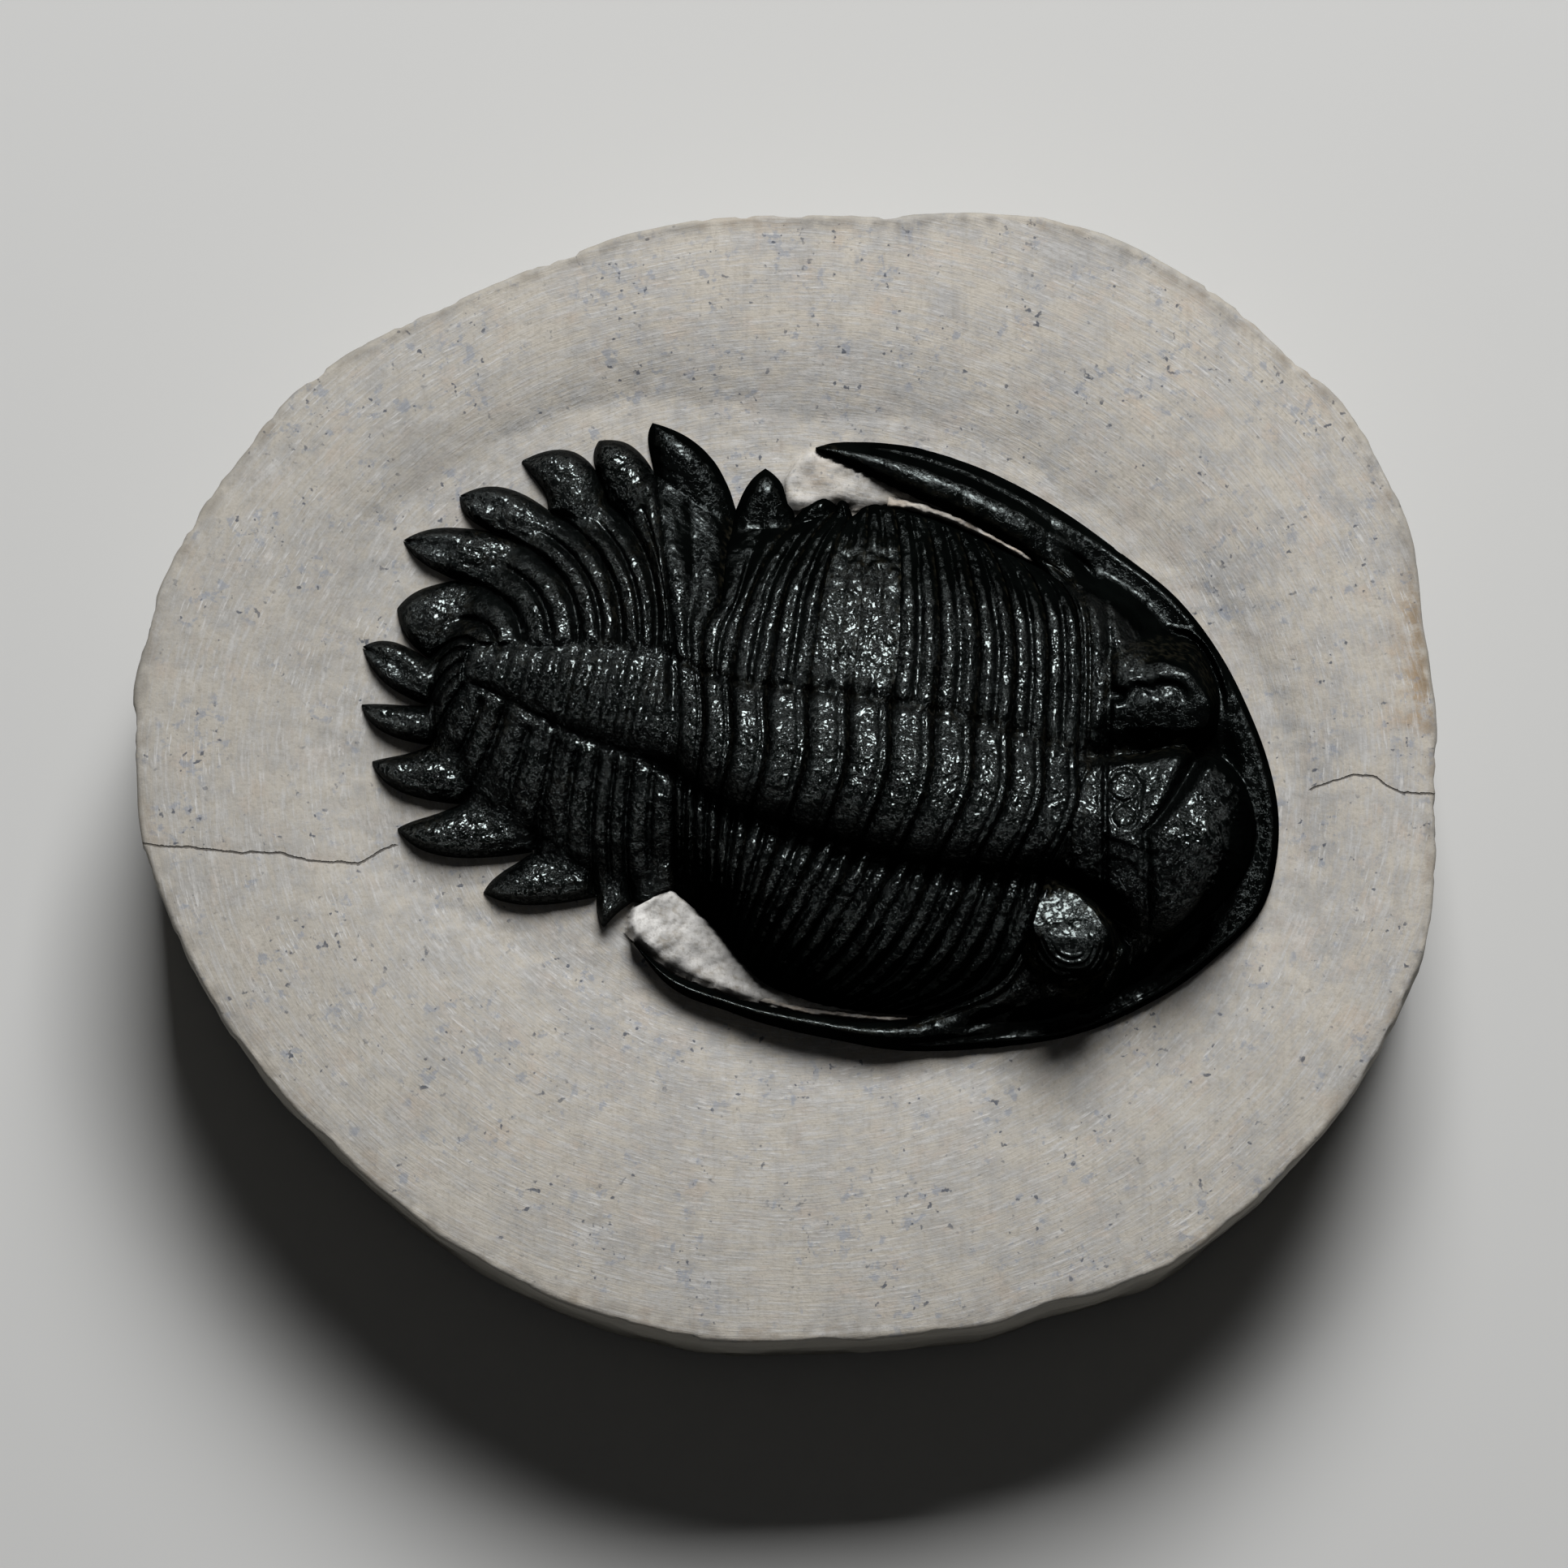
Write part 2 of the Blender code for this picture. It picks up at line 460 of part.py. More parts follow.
def head_height(x, y, u, inner, outer, edge):
    """Height of the head shield: cheeks, glabella, brim and eyes. edge is the distance to the outer edge."""
    brim = smooth_step(edge, BRIM_WIDTH * 0.85, BRIM_WIDTH * 2.6)
    lip = 0.4 * np.exp(-((edge - 0.6) / 0.5) ** 2)
    cheek = outer + (inner - outer) * (1 - u**1.9) * brim + lip
    forward, left = turned_axes(x, y, NAPE, GLABELLA_TURN)
    stations = [g[0] for g in GLABELLA]
    left_half = through(stations, [g[1] for g in GLABELLA], forward)
    right_half = through(stations, [g[2] for g in GLABELLA], forward)
    crest = through(stations, [g[3] for g in GLABELLA], forward)
    half = np.where(left > 0, left_half, right_half)
    outside = np.abs(left) - half
    furrow = (1 - smooth_step(outside, 0.2, FURROW_WIDTH)) * smooth_step(forward, -0.4, 1.0)
    furrow = furrow * (1 - smooth_step(forward, 8.5, 10.5))
    ground = cheek - FURROW_DEPTH * furrow
    for eye in (LEFT_EYE, RIGHT_EYE):
        ground = with_eye(eye, x, y, ground)
    ground = ground - 0.5 * FURROW_DEPTH * np.exp(-((outside - 0.2) / 0.6) ** 2) * furrow
    dome = crest * (0.86 + 0.14 * np.sqrt(np.clip(1 - np.abs(left / half) ** 3, 0, 1)))
    share = (1 - smooth_step(outside, -0.1, 0.35)) * (1 - smooth_step(forward, 11.0, 11.8))
    ground = ground * (1 - share) + np.maximum(dome, ground) * share
    return ground - 0.4 * np.exp(-((forward - OCCIPITAL_FURROW) / 0.3) ** 2) * share


def make_cephalon():
    """The head shield, one grid from its inner edge to its outer edge and from genal tip to genal tip."""
    stations = np.linspace(-1.6, 1.6, HEAD_COLUMNS)
    outer_edge = along(OUTER_EDGE, stations)
    inner_edge = np.zeros_like(outer_edge)
    left, right = stations < -1, stations > 1
    middle = ~left & ~right
    inner_edge[left] = along(LEFT_BLADE_EDGE, stations[left])
    inner_edge[right] = along(RIGHT_BLADE_EDGE, stations[right])
    inner_edge[middle] = rib_edge(0, stations[middle], -GAP / 2)
    inner_height = np.where(
        middle, along(PROFILE, stations) * ARCH[0][1], along(BLADE_INNER_HEIGHT, stations)
    )
    outer_height = along(OUTER_HEIGHT, stations)
    u = np.linspace(0, 1, HEAD_ROWS)[:, None]
    flat = inner_edge[None] * (1 - u[..., None]) + outer_edge[None] * u[..., None]
    edge = np.linalg.norm(outer_edge - inner_edge, axis=1)[None] * (1 - u)
    height = head_height(flat[..., 0], flat[..., 1], u, inner_height[None], outer_height[None], edge)
    blade = np.where(np.abs(stations) > 1, 1.0, 0.0)[None]
    ridge = outer_height + (inner_height - outer_height) * (1 - u) + SPINE_CROWN * np.sin(math.pi * u)
    height = height * (1 - blade) + ridge * blade
    grid = np.dstack([flat, BED + height])
    plate("cephalon", grid.reshape(-1, 3), top_faces(HEAD_ROWS, HEAD_COLUMNS))


def bank(name, outline, height):
    """A block of standing rock with a bevelled top, to be joined to the slab."""
    bm = bmesh.new()
    seen = set_back([(x, y, BED + height) for x, y in outline])
    low = [bm.verts.new((x * MM, y * MM, (BED - BANK_ROOT) * MM)) for x, y, _ in seen]
    face = bm.faces.new(low)
    raised = bmesh.ops.extrude_face_region(bm, geom=[face])["geom"]
    top = [g for g in raised if isinstance(g, bmesh.types.BMFace)]
    for v in [g for g in raised if isinstance(g, bmesh.types.BMVert)]:
        v.co.z = (BED + height - BANK_EDGE) * MM
    bmesh.ops.inset_region(bm, faces=top, thickness=BANK_EDGE * MM)
    for v in {v for face in top for v in face.verts}:
        v.co.z = (BED + height) * MM
    bmesh.ops.recalc_face_normals(bm, faces=bm.faces)
    mesh = bpy.data.meshes.new(name)
    bm.to_mesh(mesh)
    bm.free()
    made = bpy.data.objects.new(name, mesh)
    bpy.context.scene.collection.objects.link(made)
    made.hide_render = True
    made.display_type = "WIRE"
    return made


def make_slab():
    """The limestone slab, turned round its outline from the base to the bed, with its two banks."""
    angles = np.linspace(-math.pi, math.pi, SLAB_COLUMNS, endpoint=False)
    outer = closed_radius(SLAB_OUTLINE, RIM - SLAB_EDGE_ROUND / 2, angles)
    inner = closed_radius(BED_OUTLINE, BED, angles)
    top_edge = outer - SLAB_EDGE_ROUND
    rings = [
        (outer - SLAB_FOOT_INSET, 0.0),
        (outer, SLAB_FOOT),
        (outer, RIM - SLAB_EDGE_ROUND),
        (outer - SLAB_EDGE_ROUND * 0.3, RIM - SLAB_EDGE_ROUND * 0.3),
    ]
    rings += [(top_edge + (inner - top_edge) * share, height) for share, height in SLAB_RINGS]
    bm = bmesh.new()
    loops = [
        [bm.verts.new((r * math.cos(a) * MM, r * math.sin(a) * MM, z * MM)) for r, a in zip(radius, angles)]
        for radius, z in rings
    ]
    for low, high in zip(loops, loops[1:]):
        for c in range(SLAB_COLUMNS):
            after = (c + 1) % SLAB_COLUMNS
            bm.faces.new([low[c], low[after], high[after], high[c]])
    bm.faces.new(loops[0][::-1])
    bm.faces.new(loops[-1])
    mesh = bpy.data.meshes.new("matrix_slab")
    bm.to_mesh(mesh)
    bm.free()
    mesh.shade_smooth()
    mesh.set_sharp_from_angle(angle=CREASE)
    slab = add_object("matrix_slab", mesh, STONE_COLOUR, STONE_ROUGHNESS)
    banks = {"left_bank": (LEFT_BANK, LEFT_BANK_HEIGHT), "right_bank": (RIGHT_BANK, RIGHT_BANK_HEIGHT)}
    for name, (outline, height) in banks.items():
        join = slab.modifiers.new(name, "BOOLEAN")
        join.operation = "UNION"
        join.object = bank(name, outline, height)
    return slab


def centre_on(slab):
    """Moves every mesh so that the slab's middle stands over the origin."""
    corners = np.array([v.co for v in slab.data.vertices])
    middle = (corners.min(axis=0) + corners.max(axis=0)) / 2
    for made in bpy.data.objects:
        made.data.transform(Matrix.Translation((-middle[0], -middle[1], 0)))


def main():
    """Builds the slab and the trilobite's plates."""
    for old in list(bpy.data.objects):
        bpy.data.objects.remove(old)
    slab = make_slab()
    make_cephalon()
    for number in range(1, SEGMENTS + 1):
        make_segment(number)
    make_pygidium()
    centre_on(slab)


main()
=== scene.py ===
"""A spiny trilobite fossil on its sanded limestone slab: every surface, its finish, the light and the camera.

Plans are in millimetres, as the photo shows them: +X to its right, towards the head, and +Y up, towards the
animal's left side. A place seen at a height above the slab is settled back along the line of sight before it
goes into a mesh, and meshes are in metres.
"""

import logging
import math
from collections.abc import Sequence
from dataclasses import dataclass
from enum import Enum

import bmesh
import bpy
import numpy as np
from mathutils import Matrix


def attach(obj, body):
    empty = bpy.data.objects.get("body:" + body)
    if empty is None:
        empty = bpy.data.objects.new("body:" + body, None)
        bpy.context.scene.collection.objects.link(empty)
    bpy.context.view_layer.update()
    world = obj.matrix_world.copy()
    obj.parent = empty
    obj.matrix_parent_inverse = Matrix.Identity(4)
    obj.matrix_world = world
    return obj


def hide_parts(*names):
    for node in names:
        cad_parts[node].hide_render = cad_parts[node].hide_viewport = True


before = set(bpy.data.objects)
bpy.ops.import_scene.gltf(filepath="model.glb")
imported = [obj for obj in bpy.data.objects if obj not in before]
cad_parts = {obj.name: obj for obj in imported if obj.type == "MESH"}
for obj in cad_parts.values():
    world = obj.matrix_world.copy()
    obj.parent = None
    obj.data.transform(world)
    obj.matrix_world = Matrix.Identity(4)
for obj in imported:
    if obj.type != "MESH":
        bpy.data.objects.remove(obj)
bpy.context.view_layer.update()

Array = np.ndarray
Pair = tuple[float, float]
Colour = tuple[float, float, float]
Material = bpy.types.Material
Mesh = bpy.types.Mesh
LOG = logging.getLogger("trilobite")
MM = 0.001
BODY = "root"
# Upward share of a surface's direction where it starts to be steep, and where it is fully so
STEEP = (0.84, 0.62)


class Slot(Enum):
    """The record's material slots."""

    LIMESTONE = "limestone"
    SHELL = "fossil_shell"


# Numbers as curves and fields


def through(knots: Sequence[float], values: Sequence, at: Array | float) -> Array:
    """Reads a smooth curve that passes through every knot.

    Args:
        knots: Rising parameters of the known values.
        values: A number or a point for each knot.
        at: Parameters to read; past the ends the last value holds.

    Returns:
        One value or point for each parameter.
    """
    knots, values, at = np.asarray(knots, float), np.asarray(values, float), np.asarray(at, float)
    slopes = np.gradient(values, knots, axis=0)
    left = np.clip(np.searchsorted(knots, at, side="right") - 1, 0, len(knots) - 2)
    span = knots[left + 1] - knots[left]
    f = np.clip((at - knots[left]) / span, 0.0, 1.0)
    shape = f.shape + (1,) * (values.ndim - 1)
    f, span = f.reshape(shape), span.reshape(shape)
    rise = f * f * (3 - 2 * f)
    swing = span * f * (1 - f) * (slopes[left] * (1 - f) - slopes[left + 1] * f)
    return values[left] * (1 - rise) + values[left + 1] * rise + swing


def along(pairs: Sequence, at: Array | float) -> Array:
    """Reads the smooth curve through (parameter, value) pairs."""
    return through([p[0] for p in pairs], [p[1] for p in pairs], at)


def step(value: Array, low: float, high: float) -> Array:
    """0 below low, 1 above high and smooth between; high may be the smaller one."""
    f = np.clip((value - low) / (high - low), 0, 1)
    return f * f * (3 - 2 * f)


def hump(value: Array, middle: Array | float, width: Array | float) -> Array:
    """1 at the middle, falling to nothing a few widths away."""
    return np.exp(-(((value - middle) / width) ** 2))


def dome(share: Array) -> Array:
    """Height of a half circle over shares from 0 to 1 of its width."""
    return np.sqrt(np.clip(1 - (2 * share - 1) ** 2, 0, 1))


def bend(start: Array, control: Array, end: Array, t: Array) -> Array:
    """Reads a quadratic curve.

    Args:
        start: Its first point.
        control: The point that it bends towards.
        end: Its last point.
        t: Shares of the way along it.

    Returns:
        A point for each share.
    """
    start, control, end = (np.asarray(p, float) for p in (start, control, end))
    t = np.asarray(t, float)[..., None]
    return start * (1 - t) ** 2 + 2 * control * t * (1 - t) + end * t**2


@dataclass(frozen=True)
class Grain:
    """A smooth random field over a plane, the same each run.

    Args:
        seed: Picks the pattern.
        size: Width of its largest features, in the units of the places asked for.
        octaves: How many finer copies are added, each half as strong.
        cells: Features before the pattern repeats.
        shift: How far each finer copy is moved, in its own features.
    """

    seed: int
    size: float
    octaves: int = 3
    cells: int = 256
    shift: Pair = (37.2, 11.7)

    def at(self, x: Array, y: Array) -> Array:
        """Reads the field.

        Args:
            x: Places on the plane.
            y: Places on the plane.

        Returns:
            Values between about -1 and 1.
        """
        table = np.random.default_rng(self.seed).uniform(-1, 1, (self.cells, self.cells))
        total, strength, size = np.zeros(np.broadcast(x, y).shape), 1.0, self.size
        for octave in range(self.octaves):
            p, q = x / size + self.shift[0] * octave, y / size + self.shift[1] * octave
            i, j = np.floor(p).astype(int), np.floor(q).astype(int)
            f, g = p - i, q - j
            f, g = f * f * (3 - 2 * f), g * g * (3 - 2 * g)
            corner = [table[(i + a) % self.cells, (j + b) % self.cells] for a in (0, 1) for b in (0, 1)]
            low = corner[0] * (1 - g) + corner[1] * g
            high = corner[2] * (1 - g) + corner[3] * g
            total += strength * (low * (1 - f) + high * f)
            strength, size = strength / 2, size / 2
        return total


@dataclass(frozen=True)
class Sight:
    """How the photo looks at the slab, in degrees and millimetres.

    Args:
        lean: Angle of the line of sight from the vertical.
        distance: Way from the camera to the plan.
        plane: Height of the plan over the slab's base.
        width: Width of the picture on the plan.
        sensor: Width of the camera's sensor.
        shift: The picture's middle on the plan.
        middle: The slab's middle, from the plan's.
    """

    lean: float = 6.8
    distance: float = 500.0
    plane: float = 16.0
    width: float = 96.6
    sensor: float = 36.0
    shift: Pair = (-0.1, -0.05)
    middle: Pair = (-0.036, 0.602)

    def eye(self) -> Array:
        """The camera's place over the plan's origin, measured from the plane's height."""
        lean = math.radians(self.lean)
        return np.array([0.0, -math.sin(lean), math.cos(lean)]) * self.distance

    def on_plane(self, flat: Array) -> Array:
        """Puts plan places on the plane across the line of sight.

        Args:
            flat: Plan places, with or without a height.

        Returns:
            The same places in space, measured from the plane's height.
        """
        lean = math.radians(self.lean)
        x, y = flat[..., 0], flat[..., 1]
        return np.stack([x, y * math.cos(lean), y * math.sin(lean)], axis=-1)

    def settle(self, seen: Array) -> Array:
        """Moves places from where they are seen to where they are.

        Args:
            seen: Plan points with their heights above the slab's base, in millimetres.

        Returns:
            The same points, set back along the line of sight and measured from the slab's middle.
        """
        seen, eye = np.asarray(seen, float), self.eye()
        plane = self.on_plane(seen)
        share = (seen[..., 2] - self.plane - eye[2]) / (plane[..., 2] - eye[2])
        flat = eye[:2] + (plane[..., :2] - eye[:2]) * share[..., None] - self.middle
        return np.concatenate([flat, seen[..., 2:]], axis=-1)

    def plan(self, points: Array) -> tuple[Array, Array]:
        """Where on the plan true points are seen.

        Args:
            points: Points in millimetres, measured from the slab's middle.

        Returns:
            Their plan x and y.
        """
        lean, eye = math.radians(self.lean), self.eye()
        rays = np.asarray(points, float) + (*self.middle, -self.plane) - eye
        met = eye - rays * (self.distance**2 / (rays @ eye))[..., None]
        return met[..., 0], met[..., 1] * math.cos(lean) + met[..., 2] * math.sin(lean)


SIGHT = Sight()
BED = 15.0
# How far shells and strips of rock reach into the bed
SUNK = 0.4


# Meshes


def quads(grid: Array, ring: bool = False) -> Array:
    """Faces of a grid of vertex numbers.

    Args:
        grid: Vertex numbers by row and column.
        ring: Whether the last column joins the first.

    Returns:
        Four vertex numbers for each face.
    """
    if ring:
        grid = np.concatenate([grid, grid[:, :1]], axis=1)
    a, b, c, d = grid[:-1, :-1], grid[:-1, 1:], grid[1:, 1:], grid[1:, :-1]
    return np.stack([a, b, c, d], axis=-1).reshape(-1, 4)


def sheet(rows: int, columns: int) -> Array:
    """Faces of a grid whose vertices are numbered row by row."""
    return quads(np.arange(rows * columns).reshape(rows, columns))


def skin(name: str, points: Array, faces: Array, fields: dict[str, Array]) -> Mesh:
    """A mesh from points and faces, which also carries how steep it is.

    Args:
        name: The mesh's name.
        points: Points in millimetres.
        faces: Four vertex numbers for each face.
        fields: A number for each point, kept on the mesh for its finish.

    Returns:
        The mesh, in metres.
    """
    mesh = bpy.data.meshes.new(name)
    mesh.vertices.add(len(points))
    mesh.vertices.foreach_set("co", (points * MM).ravel())
    mesh.loops.add(faces.size)
    mesh.loops.foreach_set("vertex_index", faces.ravel())
    mesh.polygons.add(len(faces))
    mesh.polygons.foreach_set("loop_start", np.arange(0, faces.size, 4))
    mesh.update(calc_edges=True)
    normals = np.empty(points.size)
    mesh.vertex_normals.foreach_get("vector", normals)
    for key, values in (fields | {"steep": step(np.abs(normals[2::3]), *STEEP)}).items():
        carried = mesh.attributes.new(key, "FLOAT", "POINT")
        carried.data.foreach_set("value", np.asarray(values, float).ravel())
    return mesh


def close_below(mesh: Mesh, floor: float) -> None:
    """Gives an open surface walls and a flat underside.

    Args:
        mesh: The surface, open at its rim.
        floor: The underside's height in millimetres.
    """
    bm = bmesh.new()
    bm.from_mesh(mesh)
    if sum(f.normal.z * f.calc_area() for f in bm.faces) < 0:
        bmesh.ops.reverse_faces(bm, faces=bm.faces)
    rim = [e for e in bm.edges if e.is_boundary]
    made = bmesh.ops.extrude_edge_only(bm, edges=rim)["geom"]
    for item in made:
        if isinstance(item, bmesh.types.BMVert):
            item.co.z = floor * MM
    low = [e for e in made if isinstance(e, bmesh.types.BMEdge) and e.is_boundary]
    bmesh.ops.contextual_create(bm, geom=low)
    bm.to_mesh(mesh)
    bm.free()


@dataclass(frozen=True)
class Piece:
    """One visible piece.

    Args:
        name: Its name in the scene.
        node: The frame's node that it stands for, if there is one.
        slot: Its material slot; not used.
    """

    name: str
    node: str | None
    slot: Slot

    def put(self, mesh: Mesh, material: Material) -> None:
        """Places the piece, dresses it, ties it to its body and hides the imported part of its node.

        Args:
            mesh: Its finished mesh.
            material: Its finish.
        """
        mesh.materials.append(material)
        mesh.shade_smooth()
        made = bpy.data.objects.new(self.name, mesh)
        bpy.context.scene.collection.objects.link(made)
        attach(made, BODY)
        if self.node:
            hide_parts(self.node)
        LOG.info("%s: %d faces in place of %s", self.name, len(mesh.polygons), self.node or "no node")

    def stand(self, seen: Array, faces: Array, fields: dict[str, Array], material: Material) -> None:
        """Makes a piece that stands in the bed, and places it.

        Args:
            seen: Its upper surface as seen: plan points with heights over the slab's base.
            faces: Four vertex numbers for each face.
            fields: A number for each point, for its finish.
            material: Its finish.
        """
        mesh = skin(self.name, SIGHT.settle(seen), faces, fields)
        close_below(mesh, BED - SUNK)
        self.put(mesh, material)


# Shader maths


class Wire:
    """A shader socket that can be used in sums."""

    def __init__(self, graph: "Graph", socket: bpy.types.NodeSocket) -> None:
        """Wraps one output socket of a graph."""
        self.graph = graph
        self.socket = socket

    def _maths(self, operation: str, *values: "Wire | float") -> "Wire":
        """Adds one Math node."""
        return self.graph.node("ShaderNodeMath", {"operation": operation}, dict(enumerate(values)))

    def __add__(self, other: "Wire | float") -> "Wire":
        """self + other."""
        return self._maths("ADD", self, other)

    def __sub__(self, other: "Wire | float") -> "Wire":
        """self - other."""
        return self._maths("SUBTRACT", self, other)

    def __mul__(self, other: "Wire | float") -> "Wire":
        """self * other."""
        return self._maths("MULTIPLY", self, other)

    def __rsub__(self, other: float) -> "Wire":
        """other - self."""
        return self._maths("SUBTRACT", other, self)

    def __abs__(self) -> "Wire":
        """self without its sign."""
        return self._maths("ABSOLUTE", self)

    __radd__ = __add__
    __rmul__ = __mul__

    def between(self, low: float, high: float) -> "Wire":
        """Cuts a range out.

        Args:
            low: Where the result is 0.
            high: Where the result is 1; it may be the smaller one.

        Returns:
            0 to 1, smooth between the two ends.
        """
        values = {"Value": self, "From Min": min(low, high), "From Max": max(low, high)}
        ends = {"To Min": 0.0, "To Max": 1.0} if low < high else {"To Min": 1.0, "To Max": 0.0}
        return self.graph.node("ShaderNodeMapRange", {"interpolation_type": "SMOOTHSTEP"}, values | ends)


@dataclass(frozen=True)
class Cloud:
    """A cloudy noise: width of its features in millimetres, how many finer layers, and their strength."""

    size: float
    detail: float = 4.0
    rough: float = 0.55

    def values(self) -> dict[str, float]:
        """Settings of its noise node."""
        return {"Scale": 1 / (self.size * MM), "Detail": self.detail, "Roughness": self.rough}


class Graph:
    """The node graph of one material."""

    def __init__(self, name: str) -> None:
        """Starts a material with one Principled shader.

        Args:
            name: The material's name.
        """
        self.material = bpy.data.materials.new(name)
        self.material.use_nodes = True
        self.tree = self.material.node_tree
        self.shader = self.tree.nodes["Principled BSDF"]

    def node(self, kind: str, settings: dict, inputs: dict, output: int | str = 0) -> Wire:
        """Adds one node.

        Args:
            kind: The node's type.
            settings: Its properties.
            inputs: Values or wires by socket name or number.
            output: Which output to return.

        Returns:
            The output, ready for sums.
        """
        made = self.tree.nodes.new(kind)
        for key, value in settings.items():
            setattr(made, key, value)
        for key, value in inputs.items():
            if isinstance(value, Wire):
                self.tree.links.new(value.socket, made.inputs[key])
            else:
                made.inputs[key].default_value = value
        return Wire(self, made.outputs[output])

    def place(self) -> Wire:
        """The place on the object, in metres."""
        return self.node("ShaderNodeTexCoord", {}, {}, "Object")

    def field(self, name: str) -> Wire:
        """A number that the mesh carries."""
        return self.node("ShaderNodeAttribute", {"attribute_name": name}, {}, "Fac")

    def stretch(self, place: Wire, scale: tuple[float, float, float]) -> Wire:
        """A place with each of its axes scaled."""
        return self.node("ShaderNodeVectorMath", {"operation": "MULTIPLY"}, {0: place, 1: scale})

    def noise(self, place: Wire, cloud: Cloud) -> Wire:
        """A cloudy noise between 0 and 1 at a place."""
        return self.node("ShaderNodeTexNoise", {}, {"Vector": place} | cloud.values(), "Fac")

    def cells(self, place: Wire, size: float) -> Wire:
        """Distance to the nearest of scattered points, 0 at a point, for cells of a size in millimetres."""
        values = {"Vector": place, "Scale": 1 / (size * MM)}
        return self.node("ShaderNodeTexVoronoi", {}, values, "Distance")

    def mix(self, share: Wire | float, low: Wire | Colour, high: Wire | Colour) -> Wire:
        """A blend of two colours."""
        ends = [v if isinstance(v, Wire) else (*v, 1) for v in (low, high)]
        return self.node("ShaderNodeMix", {"data_type": "RGBA"}, {0: share, 6: ends[0], 7: ends[1]}, 2)

    def paint(self, base: Wire | Colour, layers: Sequence[tuple[Wire, float, Colour]]) -> Wire | Colour:
        """Lays colours over one another.

        Args:
            base: The lowest colour.
            layers: Where each next colour shows, how strongly, and the colour.

        Returns:
            The finished colour.
        """
        for where, strength, colour in layers:
            base = self.mix(where * strength, base, colour)
        return base

    def bump(self, height: Wire, depth: float, under: Wire | None = None) -> Wire:
        """Raises a surface normal.

        Args:
            height: Height, as a share of the depth.
            depth: Height at 1, in millimetres.
            under: The normal that it stands on, if it isn't the mesh's own.

        Returns:
            The raised normal.
        """
        values = {"Height": height, "Distance": depth * MM, "Strength": 1.0}
        return self.node("ShaderNodeBump", {}, values if under is None else values | {"Normal": under})

    def finish(self, links: dict[str, Wire], values: dict[str, float | Sequence[float]]) -> Material:
        """Wires the shader.

        Args:
            links: Wires for the shader's sockets.
            values: Plain numbers for its other sockets.

        Returns:
            The finished material.
        """
        for key, wire in links.items():
            self.tree.links.new(wire.socket, self.shader.inputs[key])
        for key, value in values.items():
            self.shader.inputs[key].default_value = value
        return self.material

    def dull(self, links: dict[str, Wire], share: Wire) -> None:
        """Takes the shine away where a share is 1.

        Args:
            links: Wires for the dull shader's sockets.
            share: How dull each place is.
        """
        matt = self.node("ShaderNodeBsdfPrincipled", {}, links | {"Specular IOR Level": 0.0})
        shiny = Wire(self, self.shader.outputs[0])
        mixed = self.node("ShaderNodeMixShader", {}, {0: share, 1: shiny, 2: matt})
        self.tree.links.new(mixed.socket, self.tree.nodes["Material Output"].inputs["Surface"])


@dataclass(frozen=True)
class ShellFinish:
    """The fossil's black shell: wrinkled and half glossy, with dust in its furrows and worn grey patches.

    It is matt on steep flanks, and smoother and duller on the head's brim, the blades and the outer ribs.
    """

    name: str = "fossil_shell"
    black: Colour = (0.0008, 0.0011, 0.0010)
    grey: Colour = (0.0018, 0.0024, 0.0022)
    dust: Colour = (0.020, 0.018, 0.012)
    worn: Colour = (0.022, 0.025, 0.026)
    tint: Colour = (0.88, 1.0, 0.99)
    shine: float = 0.75
    gloss: float = 0.14
    clouds: Cloud = Cloud(3.2, 5)
    wrinkles: Cloud = Cloud(0.42, 1, 0.45)
    creases: Cloud = Cloud(0.55, 4, 0.65)
    dimples: Cloud = Cloud(0.15, 3, 0.6)
    grain: float = 0.34
    # Depths in millimetres
    wrinkle: float = 0.16
    crease: float = 0.06
    dimple: float = 0.004
    grains: float = 0.022
    # How much relief calm stretches lose, and how matt they and the flanks are
    calming: float = 0.8
    matt_calm: float = 0.5
    matt_steep: float = 0.85

    def material(self) -> Material:
        """Builds the material.

        Returns:
            The finished material.
        """
        g = Graph(self.name)
        here = g.place()
        cloud = g.noise(here, self.clouds)
        fine = g.noise(here, self.wrinkles)
        tiny = g.noise(here, self.dimples)
        crease = abs(g.noise(here, self.creases) - 0.5).between(0.0, 0.06)
        grains = g.cells(here, self.grain).between(0.34, 0.05)
        dust = g.field("dust") * fine.between(0.4, 0.75)
        worn = g.field("worn") * fine.between(0.35, 0.7)
        colour = g.mix(cloud.between(0.4, 0.7), self.black, self.grey)
        colour = g.mix(dust, g.mix(worn, colour, self.worn), self.dust)
        rough = self.gloss + (cloud - 0.5) * 0.2 + tiny * 0.12 + dust * 0.3 + worn * 0.15
        lively = 1 - self.calming * g.field("calm")
        normal = g.bump(tiny, self.dimple)
        normal = g.bump(grains * lively, self.grains, normal)
        normal = g.bump(crease * lively, self.crease, normal)
        normal = g.bump((fine - 0.5) * lively, self.wrinkle, normal)
        matt = g.field("steep") * self.matt_steep + g.field("calm") * self.matt_calm
        g.dull({"Base Color": colour, "Normal": normal}, matt)
        links = {"Base Color": colour, "Roughness": rough, "Normal": normal}
        values = {"Metallic": 0.0, "Specular Tint": (*self.tint, 1.0), "Specular IOR Level": self.shine}
        return g.finish(links, values)


